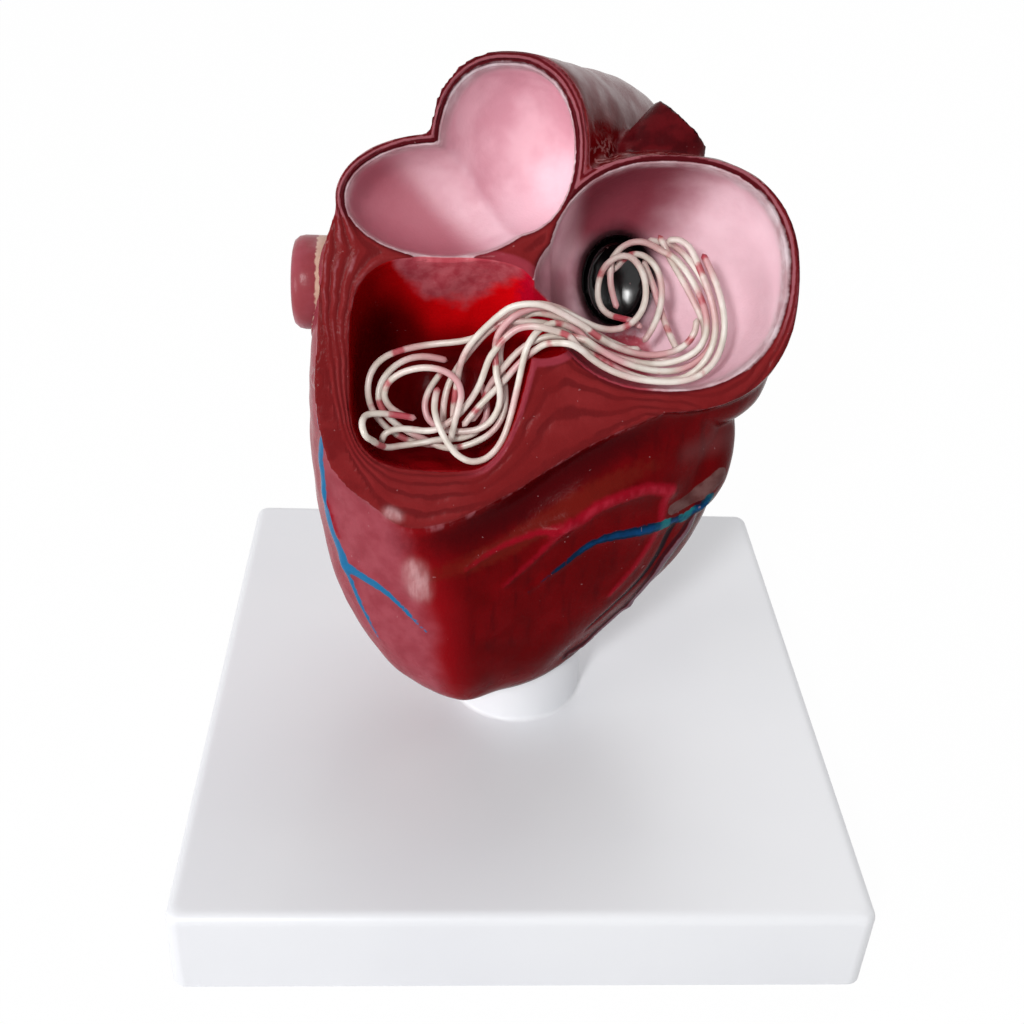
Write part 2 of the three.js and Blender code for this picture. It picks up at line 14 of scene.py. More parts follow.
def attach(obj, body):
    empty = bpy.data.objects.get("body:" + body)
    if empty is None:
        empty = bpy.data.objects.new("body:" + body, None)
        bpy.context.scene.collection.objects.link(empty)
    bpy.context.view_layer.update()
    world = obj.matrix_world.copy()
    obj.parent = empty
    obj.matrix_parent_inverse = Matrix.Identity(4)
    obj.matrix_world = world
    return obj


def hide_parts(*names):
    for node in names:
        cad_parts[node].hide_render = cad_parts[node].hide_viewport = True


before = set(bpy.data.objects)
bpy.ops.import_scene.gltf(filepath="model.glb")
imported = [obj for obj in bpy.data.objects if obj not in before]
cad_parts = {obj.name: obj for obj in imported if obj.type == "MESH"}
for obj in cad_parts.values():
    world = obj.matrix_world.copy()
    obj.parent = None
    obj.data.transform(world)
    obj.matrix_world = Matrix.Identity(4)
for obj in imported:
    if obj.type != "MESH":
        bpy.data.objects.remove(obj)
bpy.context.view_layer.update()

MM = 0.001
scene = bpy.context.scene

# Camera, solved from the corners and edges of the stand's top

PHOTO_SIZE = 1024
SENSOR_WIDTH, FOCAL_LENGTH = 36, 42.9
CAMERA_PLACE = (-0.01848, -0.21886, 0.2203)
CAMERA_TURN = (55.23, -2.835, -2.142)

camera = bpy.data.objects.new("camera", bpy.data.cameras.new("camera"))
camera.data.sensor_width = SENSOR_WIDTH
camera.data.lens = FOCAL_LENGTH
camera.data.clip_start = 0.01
camera.location = CAMERA_PLACE
camera.rotation_euler = [math.radians(a) for a in CAMERA_TURN]
scene.collection.objects.link(camera)
scene.camera = camera
bpy.context.view_layer.update()


def sight(u, v):
    """Where the camera stands, in millimetres, and its direction through a pixel of the photograph."""
    focal, middle = PHOTO_SIZE * camera.data.lens / camera.data.sensor_width, PHOTO_SIZE / 2
    way = camera.matrix_world.to_3x3() @ Vector(((u - middle) / focal, (middle - v) / focal, -1))
    return camera.location / MM, way.normalized()


# Mesh helpers

def link(name, mesh):
    thing = bpy.data.objects.new(name, mesh)
    scene.collection.objects.link(thing)
    return thing


def finished(name, bm, smooth=True):
    """A new object from a bmesh drawn in millimetres."""
    bmesh.ops.scale(bm, vec=(MM, MM, MM), verts=bm.verts)
    bmesh.ops.recalc_face_normals(bm, faces=bm.faces)
    mesh = bpy.data.meshes.new(name)
    bm.to_mesh(mesh)
    bm.free()
    if smooth:
        mesh.shade_smooth()
    return link(name, mesh)


def baked(thing, *tools):
    """Applies an object's modifiers and removes the tools that they used."""
    evaluated = thing.evaluated_get(bpy.context.evaluated_depsgraph_get())
    mesh = bpy.data.meshes.new_from_object(evaluated)
    thing.modifiers.clear()
    thing.data = mesh
    for tool in tools:
        bpy.data.objects.remove(tool)
    return thing


def combine(thing, operation, *tools):
    """Boolean modifiers that add the tools to an object or cut them from it."""
    for tool in tools:
        join = thing.modifiers.new(tool.name, "BOOLEAN")
        join.operation = operation
        join.solver = "MANIFOLD"
        join.object = tool


def crisp(thing, degrees=35):
    """Keeps the shading sharp at edges with a steeper turn than that."""
    thing.data.set_sharp_from_angle(angle=math.radians(degrees))
    return thing


def join_loops(bm, loops):
    """Faces from each closed loop of vertices to the next, and at both ends."""
    for a, b in zip(loops, loops[1:]):
        for i in range(len(a)):
            bm.faces.new((a[i - 1], a[i], b[i], b[i - 1]))
    bm.faces.new(loops[0][::-1])
    bm.faces.new(loops[-1])


def points_of(mesh):
    points = np.empty(3 * len(mesh.vertices))
    mesh.vertices.foreach_get("co", points)
    return points.reshape(-1, 3) / MM


def normals_of(mesh):
    normals = np.empty(3 * len(mesh.vertices))
    mesh.vertex_normals.foreach_get("vector", normals)
    return normals.reshape(-1, 3)


def place(mesh, points):
    mesh.vertices.foreach_set("co", (points * MM).ravel())
    mesh.update()


def store(mesh, name, values):
    mesh.attributes.new(name, "FLOAT", "POINT").data.foreach_set("value", values.astype(np.float32))


def spun(name, profile, segments=96):
    """A closed form turned about the z axis from radius and height pairs."""
    bm = bmesh.new()
    verts = [bm.verts.new((r, 0, z)) for r, z in profile]
    edges = [bm.edges.new(pair) for pair in zip(verts, verts[1:])]
    bmesh.ops.spin(bm, geom=verts + edges, cent=(0, 0, 0), axis=(0, 0, 1), angle=2 * math.pi, steps=segments)
    bmesh.ops.remove_doubles(bm, verts=bm.verts, dist=1e-3)
    return finished(name, bm)


def spline(knots, counts):
    """Points of a smooth curve through knots, that many of them from each knot to the next."""
    ghost = np.vstack([2 * knots[0] - knots[1], knots, 2 * knots[-1] - knots[-2]])
    line = []
    for i, count in enumerate(counts):
        t = np.linspace(0, 1, max(2, count), endpoint=False)[:, None]
        a, b, c, d = ghost[i:i + 4]
        line.append(0.5 * (2 * b + (c - a) * t + (2 * a - 5 * b + 4 * c - d) * t ** 2
                           + (3 * b - a - 3 * c + d) * t ** 3))
    return np.vstack(line + [knots[-1:]])


def steps_of(knots):
    return np.linalg.norm(np.diff(knots, axis=0), axis=1)


def ball(name, shape, fine=(120, 80)):
    """A sphere whose points are moved by a function of the unit sphere."""
    bm = bmesh.new()
    bmesh.ops.create_uvsphere(bm, u_segments=fine[0], v_segments=fine[1], radius=1)
    points = shape(np.array([v.co for v in bm.verts]))
    for vert, point in zip(bm.verts, points):
        vert.co = point
    return finished(name, bm)


# The section's own frame: to the right, up the section, and out of it

LEAN = math.radians(25)
ORIGIN = np.array([0, -25, 83.2])
SECTION = np.array([
    [1, 0, 0],
    [0, math.sin(LEAN), math.cos(LEAN)],
    [0, -math.cos(LEAN), math.sin(LEAN)],
])


def to_section(points):
    return (points - ORIGIN) @ SECTION.T


def from_section(points):
    return points @ SECTION + ORIGIN


# Forms of the heart

GROUND = 20.5  # the stand's top face
SEAT = GROUND + 30  # the post's top face, on which the heart rests
SOCKET_RADIUS, BUSH_HOLE_RADIUS, BUSH_HOLE_DEPTH = 16.3, 6.2, 23.9
VOXEL = 0.76  # size of the remesh's cells

# The ventricles: height of their widest place over the stand, and how far they go down and up from it
BODY_MIDDLE, BODY_BELOW, BODY_ABOVE = 74.5, 64.6, 42.5
AXIS_X, AXIS_Y = -0.5, 6  # the long axis at that height
SIDE_REACH, FRONT_REACH, BACK_REACH = 44, 26, 33  # how far they reach from it
KEEL_ANGLE, RIGHT_END = -136, 109  # where the keel is, and how far round from it the front edge ends
KEEL_RISE, SLIMMING, GROOVE_DEPTH, GROOVE_DROP = 8.6, 4.5, 3.4, 6

# The glued vein on the left: its foot, its socket, and the seam round it
VEIN_X, VEIN_Y, VEIN_HEIGHT = -38.5, 9, 96.5
VEIN_FOOT = np.array([VEIN_X, VEIN_Y, VEIN_HEIGHT + GROUND])
VEIN_SOCKET_RADIUS, SEAM_RADIUS = 9.45, 10

# The cut vessel behind the section, in the section's frame
VESSEL_START, VESSEL_END = np.array([14.5, 62.5, -14]), np.array([27.7, 77.2, -14])
VESSEL_BORE_START, VESSEL_BORE_END = np.array([25, 74.2, -14]), np.array([29, 78.7, -14])
VESSEL_WAY, VESSEL_LENGTH = np.array([0.668, 0.744, 0]), 19.8
VESSEL_RADIUS, VESSEL_BORE_RADIUS = 7, 4.2

CAVITIES = {
    "upper": dict(at=(-7.4, 69.9, 0), half=(12.3, 15.2, 17), blunt=2.6, square=2.25, lean=0.3),
    "lower": dict(at=(-19.2, 60.4, 0), half=(17.6, 10, 14), blunt=2.4),
    "ventricle": dict(at=(-17.4, 30, 0), half=(18.7, 20.2, 25), blunt=2.6, square=3.6, slope=0.5, taper=0.21),
    "right": dict(at=(24, 47.6, 0), half=(22.7, 21, 20), blunt=2.4, square=2.3),
    "passage": dict(at=(0, 38.5, 0), half=(8, 6.6, 8)),
    "throat": dict(at=(7.6, 46, 0), half=(8.8, 9.3, 9)),
    "lumen": dict(at=(14.8, 47.2, -18), half=(6.9, 8.8, 15), blunt=2.6, lean=0.1),
}
OUTSIDE = {
    "upper_wall": dict(
        at=(-7.2, 69.9, -15.5), half=(15, 17.75, 31), blunt=5, square=2.3, lean=0.58, climb=0.07,
    ),
    "lower_wall": dict(at=(-19.2, 60.5, -10.5), half=(20.2, 12.3, 21), blunt=3.5),
    "bowl": dict(at=(24.1, 46.2, -12), half=(26.3, 25, 24), blunt=3, square=2.4),
    "shoulder": dict(at=(-30, 45, -13), half=(12.5, 20, 15), blunt=3),
    "flank": dict(at=(34.8, 31, -14), half=(12.9, 12.9, 13)),
    "hip": dict(at=(35, 16, -19), half=(8, 16, 7.5)),
    "knob": dict(at=(-42.4, 26.5, -6), half=(1.6, 2.4, 5)),
}
# Edge of the section from its upper left round the keel to its lower right: place, and the share by which it
# draws in towards the middle at the plate's back
EDGE = [
    (-38.1, 61.7, 0.03), (-39.3, 57.2, 0.03), (-40.8, 52.6, 0.02), (-41.5, 47.1, 0.01), (-42.1, 41.6, 0.01),
    (-42.4, 36, 0.01), (-42.6, 30.4, 0.01), (-42.8, 25.7, 0.01), (-42.4, 19.2, 0.02), (-41.2, 14.3, 0.05),
    (-39.9, 10.1, 0.08), (-37.2, 6.6, 0.1), (-34.3, 4.2, 0.12), (-31.4, 2.5, 0.15), (-28.5, 1.1, 0.2),
    (-26.2, 0.2, 0.25), (-19.5, 0.9, 0.35), (-12.7, 2.3, 0.4), (-3.1, 6.5, 0.45), (4.5, 12.3, 0.45),
    (10.2, 15.7, 0.45), (15.9, 18.5, 0.45), (23.6, 21.6, 0.4), (31.2, 24.4, 0.3), (36, 28, 0.2), (30, 34, 0),
    (10, 34, 0), (0, 50, 0), (-20, 56, 0), (-32, 62, 0),
]
EDGE_MIDDLE = np.array([-15, 32])
# Depths in the plate, and how much of that share applies at each
PLATE_DEPTHS = ((1, 0), (-0.6, 0), (-2, 0.12), (-6, 0.6), (-11, 1))
# The dark pool's middle, its depth there, its slopes to the right and up, and how round its bottom is
POOL_MIDDLE, POOL_DEPTH, POOL_SLOPES, POOL_ROUNDNESS = (19.1, 44.2), -25, (0.2625, -0.057), 44


def narrowing(up, half, taper):
    """Share of its width that the right half of a form keeps at a height over its middle."""
    return 1 - taper * (16 - up) / half[0]


def swelling(at, half, blunt=2, square=2, lean=0, slope=0, climb=0, taper=0):
    """A blunt ball in the section's frame; with a slope, its upper half gets lower towards the back.

    With a taper, its right half gets narrower towards the bottom.
    """
    def shape(p):
        across = np.maximum(np.hypot(p[:, 0], p[:, 1]), 1e-6)
        girth = across ** (2 / blunt - 1)
        girth *= across / (np.abs(p[:, 0]) ** square + np.abs(p[:, 1]) ** square + 1e-12) ** (1 / square)
        depth = np.sign(p[:, 2]) * np.abs(p[:, 2]) ** (2 / blunt) * half[2] + at[2]
        rise = half[1] - np.where(p[:, 1] > 0, slope * np.abs(depth), 0)
        up = p[:, 1] * girth * rise
        keep = np.where(p[:, 0] > 0, narrowing(up, half, taper), 1)
        return from_section(np.column_stack([
            p[:, 0] * girth * half[0] * keep + at[0] - lean * depth,
            up + at[1] - climb * depth,
            depth,
        ]))
    return shape


def wall(s, at, half, blunt=2, square=2, lean=0, slope=0, climb=0, taper=0):
    """About how far points of the section's frame lie outside a cavity, negative inside it."""
    depth = np.minimum(s[:, 2], 0)
    q = np.column_stack([s[:, 0] - at[0] + lean * depth, s[:, 1] - at[1] + climb * depth,
                         np.minimum(depth - at[2], 0)])
    q[:, 0] /= np.where(q[:, 0] > 0, np.maximum(narrowing(q[:, 1], half, taper), 0.3), 1)
    rise = np.maximum(half[1] - np.where(q[:, 1] > 0, slope * np.abs(depth), 0), 1)
    outline = (np.abs(q[:, 0] / half[0]) ** square + np.abs(q[:, 1] / rise) ** square) ** (1 / square)
    level = np.maximum((outline ** blunt + np.abs(q[:, 2] / half[2]) ** blunt) ** (1 / blunt), 1e-3)
    return np.linalg.norm(q, axis=1) * (1 - 1 / level)


def keel_turn(angle):
    """Angle round the long axis from the keel, which parts the left side from the front."""
    turn = angle - math.radians(KEEL_ANGLE)
    return np.arctan2(np.sin(turn), np.cos(turn))


def keel_shift(height):
    """How far the keel has turned towards the front at a height over the stand, in degrees."""
    return np.interp(height, [20, 33, 43, 53, 62, 72], [19, 17, 15, 9, 4.5, 0])


def front_share(angle):
    """How far an angle is round the section's front edge, from 0 at the keel to 1 at its right end."""
    return np.clip(keel_turn(angle) / math.radians(RIGHT_END), 0, 1)


def lip_height(angle):
    """Height over the stand of the section's front edge."""
    climb = front_share(angle)
    return 62.7 + 22 * climb ** 2 * (3 - 2 * climb)


def groove_share(angle, height):
    """How deep the groove under the front edge of the section is, from 0 to 1."""
    below = height - lip_height(angle) + GROOVE_DROP
    return np.sin(math.pi * front_share(angle)) ** 0.7 * np.exp(-(below / 5) ** 2)


def body_keel(angle, height, girth):
    """How far the keel stands out; lower down it falls off slower on the left and faster on the right."""
    shift = keel_shift(height)
    turn = keel_turn(angle) - np.radians(shift)
    spread = np.radians(np.where(turn < 0, 25 + 1.3 * shift, 35 - 0.5 * shift))
    return KEEL_RISE * np.sqrt(girth) * np.exp(-np.abs(turn / spread) ** 1.5)


def body_reach(angle, height):
    """At a height over the stand, how far the ventricles reach from the long axis, and the axis itself."""
    rise = height - BODY_MIDDLE
    z = np.clip(rise / np.where(rise < 0, BODY_BELOW, BODY_ABOVE), -1, 1)
    girth = np.where(z < 0, (1 - np.abs(z) ** 2.25) ** 0.5, (1 - z ** 2) ** 0.2)
    c, s = np.cos(angle), np.sin(angle)
    power = np.where((c < 0) & (s < 0), 2.5, 2)
    half_depth = np.where(s < 0, FRONT_REACH, BACK_REACH)
    oval = (np.abs(c / SIDE_REACH) ** power + np.abs(s / half_depth) ** power) ** (-1 / power)
    # The lower right side is slimmer
    slim = np.exp(-((angle + 0.35) / 0.5) ** 2 - ((height - 23) / np.where(height > 23, 17, 7)) ** 2)
    reach = oval * girth + body_keel(angle, height, girth) - SLIMMING * slim
    below = np.maximum(0, -z)
    middle = np.column_stack([AXIS_X - 7 * below ** 2.5, AXIS_Y - 18 * below ** 2])
    return reach - GROOVE_DEPTH * groove_share(angle, height), middle


def ventricles(p):
    height = BODY_MIDDLE + np.where(p[:, 2] < 0, BODY_BELOW, BODY_ABOVE) * p[:, 2]
    angle = np.arctan2(p[:, 1], p[:, 0])
    reach, middle = body_reach(angle, height)
    return np.column_stack([
        middle[:, 0] + reach * np.cos(angle),
        middle[:, 1] + reach * np.sin(angle),
        height + GROUND,
    ])


def rod(name, start, end, radius):
    """A plain rod between two points of the part's frame, as a tool for cutting."""
    start, end = Vector(start), Vector(end)
    bm = bmesh.new()
    length = (end - start).length
    bmesh.ops.create_cone(bm, cap_ends=True, segments=64, radius1=radius, radius2=radius, depth=length)
    turn = Vector((0, 0, 1)).rotation_difference(end - start).to_matrix().to_4x4()
    bmesh.ops.transform(bm, matrix=turn, verts=bm.verts)
    bmesh.ops.translate(bm, vec=(start + end) / 2, verts=bm.verts)
    return finished(name, bm)


def slab(name):
    """Everything in front of the section."""
    bm = bmesh.new()
    corners = bmesh.ops.create_cube(bm, size=1)["verts"]
    for vert in corners:
        side = np.array([[300 * vert.co.x, 300 * vert.co.y, 50 + 100 * vert.co.z]])
        vert.co = from_section(side)[0]
    return finished(name, bm)


def face_plate():
    """The front few millimetres of the section, up to its measured edge."""
    bm = bmesh.new()
    edge = np.array(EDGE)
    loops = []
    for depth, share in PLATE_DEPTHS:
        flat = (edge[:, :2] - EDGE_MIDDLE) * (1 - share * edge[:, 2:]) + EDGE_MIDDLE
        flat = np.column_stack([flat, np.full(len(flat), depth)])
        loops.append([bm.verts.new(p) for p in from_section(flat)])
    join_loops(bm, loops)
    return finished("plate", bm)


def dark_pool(p):
    """The lumen of the vessel, closed by a gently hollowed black bottom that looks up to the left."""
    points = to_section(swelling(**CAVITIES["lumen"])(p))
    x, u = points[:, 0] - POOL_MIDDLE[0], points[:, 1] - POOL_MIDDLE[1]
    bottom = POOL_DEPTH + POOL_SLOPES[0] * x + POOL_SLOPES[1] * u + (x ** 2 + u ** 2) / POOL_ROUNDNESS
    points[:, 2] = np.maximum(points[:, 2], bottom)
    return from_section(points)


def vessel_rod(name, start, end, radius):
    return rod(name, *from_section(np.array([start, end])), radius)


def make_casting():
    heart = ball("heart", ventricles, (180, 120))
    added = [face_plate()] + [ball(name, swelling(**form)) for name, form in OUTSIDE.items()]
    added.append(vessel_rod("cut_vessel", VESSEL_START, VESSEL_END, VESSEL_RADIUS))
    cut = [slab("front")]
    cut += [ball(name, dark_pool if name == "lumen" else swelling(**form)) for name, form in CAVITIES.items()]
    cut += [
        vessel_rod("vessel_bore", VESSEL_BORE_START, VESSEL_BORE_END, VESSEL_BORE_RADIUS),
        rod("post_socket", (0, 0, 0), (0, 0, SEAT + 0.5), SOCKET_RADIUS),
        rod("bush_hole", (0, 0, SEAT), (0, 0, SEAT + BUSH_HOLE_DEPTH), BUSH_HOLE_RADIUS),
        rod("vein_socket", VEIN_FOOT + [0.5, 0, 0], VEIN_FOOT - [30, 0, 0], VEIN_SOCKET_RADIUS),
    ]
    combine(heart, "UNION", *added)
    combine(heart, "DIFFERENCE", *cut)
    remesh = heart.modifiers.new("remesh", "REMESH")
    remesh.mode = "VOXEL"
    remesh.voxel_size = VOXEL * MM
    remesh.use_smooth_shade = True
    ease = heart.modifiers.new("ease", "SMOOTH")
    ease.factor = 0.5
    ease.iterations = 3
    return baked(heart, *added, *cut)


heart = make_casting()


# Vessels on the outside

# On the front: kind, width at both ends, height over the surface, and route as pixels of the photograph
FRONT_VESSELS = {
    "main artery": ("artery", 3.6, 2.8, 0.9, [(672, 489), (646, 488), (604, 503), (580, 520), (556, 531)]),
    "long artery": ("artery", 2.2, 1.0, 0.6, [(564, 525), (520, 537), (490, 551), (462, 570)]),
    "steep artery": ("artery", 2.2, 1.0, 0.6, [(572, 520), (550, 545), (526, 567), (500, 585)]),
    "right artery": ("artery", 2.6, 1.6, 0.3, [(668, 494), (660, 530), (642, 560), (612, 594)]),
    "right vein": ("vein", 2.6, 2.8, 0.4, [(712, 496), (692, 512), (675, 521), (645, 529)]),
    "front vein": ("vein", 3.2, 0.7, 0.5, [(652, 528), (611, 536), (590, 545), (566, 564), (531, 590)]),
    # The dark line is a shallow crease painted near black, partly painted shade
    "dark line": ("dark", 2.0, 1.0, -0.3, [(676, 526), (661, 556), (645, 578), (618, 604), (590, 630)]),
    "fat": ("fat", 3.4, 4.2, 0.3, [(676, 508), (692, 498), (708, 488), (722, 476)]),
    # A painted sheen, not a vessel
    "haze": ("haze", 4, 6, 0, [(692, 452), (712, 444), (732, 436)]),
    # Sheens: painted sheen along the lower right outline, not vessels
    "upper sheen": ("sheen", 1.6, 2.4, 0.5, [(708, 500), (690, 527), (672, 553), (653, 580), (631, 604)]),
    "lower sheen": ("sheen", 2.4, 0.6, 0.5, [(631, 604), (612, 622), (590, 641), (570, 655)]),
    "left vein": ("vein", 2.6, 3.2, 0.4, [
        (318, 420), (318, 450), (321, 480), (327, 515), (336, 545), (345, 566),
    ]),
    "left vein branch": ("vein", 3.2, 0.8, 0.5, [(342, 562), (360, 576), (380, 589), (400, 607), (425, 632)]),
    "left vein end": ("vein", 2.4, 0.8, 0.4, [(344, 566), (352, 588), (364, 612), (378, 638)]),
    "left artery": ("artery", 2.4, 1.2, 0.4, [(323, 492), (328, 506), (333, 522), (338, 536)]),
}
# Round the sides and the back: the same, with degrees round the heart and heights over the stand
BACK_VESSELS = {
    "back vein": ("vein", 3.0, 2.4, 0.8, [(165, 76), (150, 68), (138, 60), (128, 50), (118, 40)]),
    "back vein end": ("vein", 2.4, 1.4, 0.5, [(118, 40), (108, 31), (96, 25)]),
    "back vein branch": ("vein", 2.2, 1.3, 0.4, [(138, 60), (122, 55), (108, 47), (98, 38)]),
    "back artery": ("artery", 3.0, 2.2, 0.7, [(60, 78), (68, 68), (74, 58), (78, 48), (86, 38)]),
    "back artery end": ("artery", 2.2, 1.4, 0.4, [(86, 38), (92, 30), (104, 24)]),
    "back artery branch": ("artery", 2.2, 1.4, 0.4, [(74, 58), (60, 52), (48, 44), (40, 36)]),
    "far vein": ("vein", 2.8, 1.8, 0.5, [(40, 80), (34, 68), (28, 56), (24, 44), (18, 34)]),
    "far artery": ("artery", 2.3, 1.5, 0.5, [(178, 80), (172, 68), (165, 54), (158, 42), (150, 32)]),
    "side vein": ("vein", 2.6, 1.8, 0.4, [(8, 64), (4, 54), (-2, 44), (-6, 38)]),
}
# Painted glare (highlight) at the keel: pixels of the photograph, and sizes
GLARE_PIXELS = [(415, 592), (413, 580), (411, 568), (385, 513), (395, 517)]
GLARE_SIZES = [2.6, 2.6, 2.2, 1.5, 1.3]
MIDDLE_COLUMN = 520  # the heart's middle in the photograph


def heart_tree():
    return BVHTree.FromPolygons([v.co / MM for v in heart.data.vertices],
                                [list(p.vertices) for p in heart.data.polygons])


def seen(tree, pixels):
    """Points of the heart behind pixels, or beside them where a pixel lies just off its outline."""
    hits = []
    for u, v in pixels:
        tries = [tree.ray_cast(*sight(u + math.copysign(step, MIDDLE_COLUMN - u), v))[0]
                 for step in range(3, 40, 2)]
        hits += [hit for hit in tries if hit is not None][:1]
    return hits


def around(tree, places):
    """Points of the heart at angles and heights, found from outside."""
    points = []
    for degrees, height in places:
        angle = math.radians(degrees)
        _, middle = body_reach(np.array([angle]), np.array([float(height)]))
        out = Vector((math.cos(angle), math.sin(angle), 0))
        start = Vector((middle[0, 0], middle[0, 1], height + GROUND)) + 80 * out
        hit = tree.ray_cast(start, -out)[0]
        if hit is not None:
            points.append(hit)
    return points


tree = heart_tree()
VESSELS = [(*look, seen(tree, pixels)) for *look, pixels in FRONT_VESSELS.values()]
VESSELS += [(*look, around(tree, places)) for *look, places in BACK_VESSELS.values()]
GLARE_SPOTS = seen(tree, GLARE_PIXELS)


def near_curve(points, route, start, end):
    """How far points lie inside a band along a route, negative outside it, and the band's width there."""
    knots = np.array(route)
    samples = spline(knots, [int(2 * step) for step in steps_of(knots)])
    widths = np.linspace(start, end, len(samples))
    best = np.full(len(points), -99.0)
    width = np.full(len(points), start)
    close = np.all((points > samples.min(0) - 6) & (points < samples.max(0) + 6), axis=1)
    for i in np.flatnonzero(close):
        gap = widths / 2 - np.linalg.norm(samples - points[i], axis=1)
        j = gap.argmax()
        best[i], width[i] = gap[j], widths[j]
    return best, width


def rough(points, size, seed):
    """Smooth noise from -1 to 1 with bumps of about that size in millimetres."""
    shift = Vector((seed * 7.3, seed * 3.1, seed * 5.7))
    return np.array([noise.noise(Vector(p) / size + shift) for p in points])


def ramp(x, low, high):
    t = np.clip((x - low) / (high - low), 0, 1)
    return t * t * (3 - 2 * t)


def measured(mesh):
    """The casting's points, with what its relief and its paint follow."""
    m = SimpleNamespace()
    m.points = points_of(mesh)
    m.section = to_section(m.points)
    out = m.section[:, 2]
    # The cut edge is made crisp again after the remesh
    out[:] = np.where(out > -1, -np.maximum(0, (-out - 0.3) / 0.7), out)
    m.depth = -out
    m.across, m.up = m.section[:, 0], m.section[:, 1]
    m.angle = np.arctan2(m.points[:, 1] - AXIS_Y, m.points[:, 0] - AXIS_X)
    m.height = m.points[:, 2] - GROUND
    measure_walls(m)
    return m


def measure_walls(m):
    """How far points are from the hollows, and how thick the casting is there."""
    m.walls = {name: wall(m.section, **form) for name, form in CAVITIES.items()}
    m.pink_wall = np.minimum.reduce([m.walls[n] for n in ("upper", "lower", "right", "throat")])
    m.red_wall = np.minimum(m.walls["ventricle"], m.walls["passage"])
    m.in_lumen = (m.walls["lumen"] < 1.3) & (m.walls["right"] > 0.3)
    reach, middle = body_reach(m.angle, m.height)
    within = reach - np.hypot(m.points[:, 0] - middle[:, 0], m.points[:, 1] - middle[:, 1])
    m.within = np.maximum.reduce([within] + [-wall(m.section, **form) for form in OUTSIDE.values()])
    m.hollow = np.maximum(np.minimum.reduce(list(m.walls.values())), 0)
    m.thick = m.hollow + np.maximum(m.within, 0)
    inner = np.where(m.in_lumen, 0, np.minimum(np.abs(m.pink_wall), np.abs(m.red_wall)))
    m.outer = np.clip((inner - 1.2) / 1.5, 0, 1) * np.clip((m.depth - 0.8) / 2.5, 0, 1)


def shape_face(m):
    """Bevels at the pink chambers' mouths, more so at the top, and relief on the cut face."""
    bevel = 1.1 + 0.8 * ramp(m.up, 70, 84) + 1.2 * ramp(m.across, 38, 45)
    bevel += 0.25 * rough(m.points, 3, 8)
    sunk = np.where(m.depth < 0.3, np.clip(bevel - m.pink_wall, 0, bevel), 0)
    mouth = (m.depth >= 0.3) & (np.abs(m.pink_wall) < 1)
    sunk = np.where(mouth, bevel * np.clip(1 - m.depth / 4, 0, 1), sunk)
    m.section[:, 2] -= 0.8 * sunk
    # A raised edge right of the ventricle
    edge = np.exp(-((m.walls["ventricle"] - 0.9) / 0.8) ** 2)
    edge *= ramp(m.across, -12, -4) * (m.pink_wall > 1)
    on_face = ramp(m.depth, 0.5, 0.1)
    m.section[:, 2] += on_face * (0.35 * edge + 0.12 * rough(m.points, 5, 9))
    m.points = from_section(m.section)


def relief(m):
    """Rise of the hand-made unevenness, the torn patch, the ventricle's folds and the vein's seam."""
    x, u, out = m.section.T
    torn = np.exp(-(((x - 12) / 10) ** 2 + ((u - 68) / 5) ** 2 + ((out + 8) / 8) ** 2))
    m.torn = np.maximum(torn, np.exp(-((x - 17) / 12) ** 2 - ((u - 69.5) / 2.2) ** 2 - (out / 5) ** 2))
    lift = m.outer * (0.4 * rough(m.points, 13, 1) + 0.14 * rough(m.points, 4.5, 2))
    lift += m.outer * m.torn * (1.3 * rough(m.points, 2.6, 3) + 0.5)
    folds = np.clip((np.abs(m.red_wall) < 1.2) * (m.depth - 3) / 5, 0, 1)
    lift += folds * 0.7 * rough(m.points * [1, 0.35, 0.35], 3.6, 4)
    from_vein = np.hypot(m.points[:, 1] - VEIN_Y, m.height - VEIN_HEIGHT)
    m.seam = np.where(m.points[:, 0] < -36, 0.5 - np.abs(from_vein - SEAM_RADIUS), -9)
    return lift + 0.5 * ramp(m.seam, -0.4, 0.3)


def vessels(m):
    """How far points lie inside each kind of vessel, and how far the vessels rise there."""
    kinds = {vessel[0]: np.full(len(m.points), -99.0) for vessel in VESSELS}
    lift = 0
    for kind, start, end, rise, route in VESSELS:
        inside, width = near_curve(m.points, route, start, end)
        kinds[kind] = np.maximum(kinds[kind], inside)
        lift = lift + m.outer * rise * np.exp(-((width / 2 - inside) / (0.62 * width)) ** 2)
    return kinds, lift


def stump(m):
    """Distance from the cut vessel's side, and -2 on its cut end."""
    along = np.clip((m.section - VESSEL_START) @ VESSEL_WAY, 0, VESSEL_LENGTH)
    axis = VESSEL_START + along[:, None] * VESSEL_WAY
    side = np.linalg.norm(m.section - axis, axis=1) - VESSEL_RADIUS
    return np.where((along > VESSEL_LENGTH - 0.4) & (side < 0.5), -2, side)


# Where the painted glare (highlight) at the keel lies
def glare_spots(m):
    spots = zip(GLARE_SPOTS, GLARE_SIZES)
    return sum(np.exp(-(np.linalg.norm(m.points - spot, axis=1) / size) ** 2) for spot, size in spots)


def outside_values(m):
    """What the paint of the outside follows."""
    lip = lip_height(m.angle)
    under_lip = lip - GROOVE_DROP + 1.6 * (m.height - lip + 13)
    return {
        "keel": 40 * (keel_turn(m.angle) - np.radians(keel_shift(m.height))),
        "away": -40 * np.abs(keel_turn(m.angle)),
        "groove": groove_share(m.angle, m.height) * ramp(m.depth, 0.3, 2),
        "fatty": groove_share(m.angle, under_lip) * m.outer,
        "stump": stump(m),
        "torn": m.torn,
        "seam": m.seam,
        "keel_glare": glare_spots(m),
    }


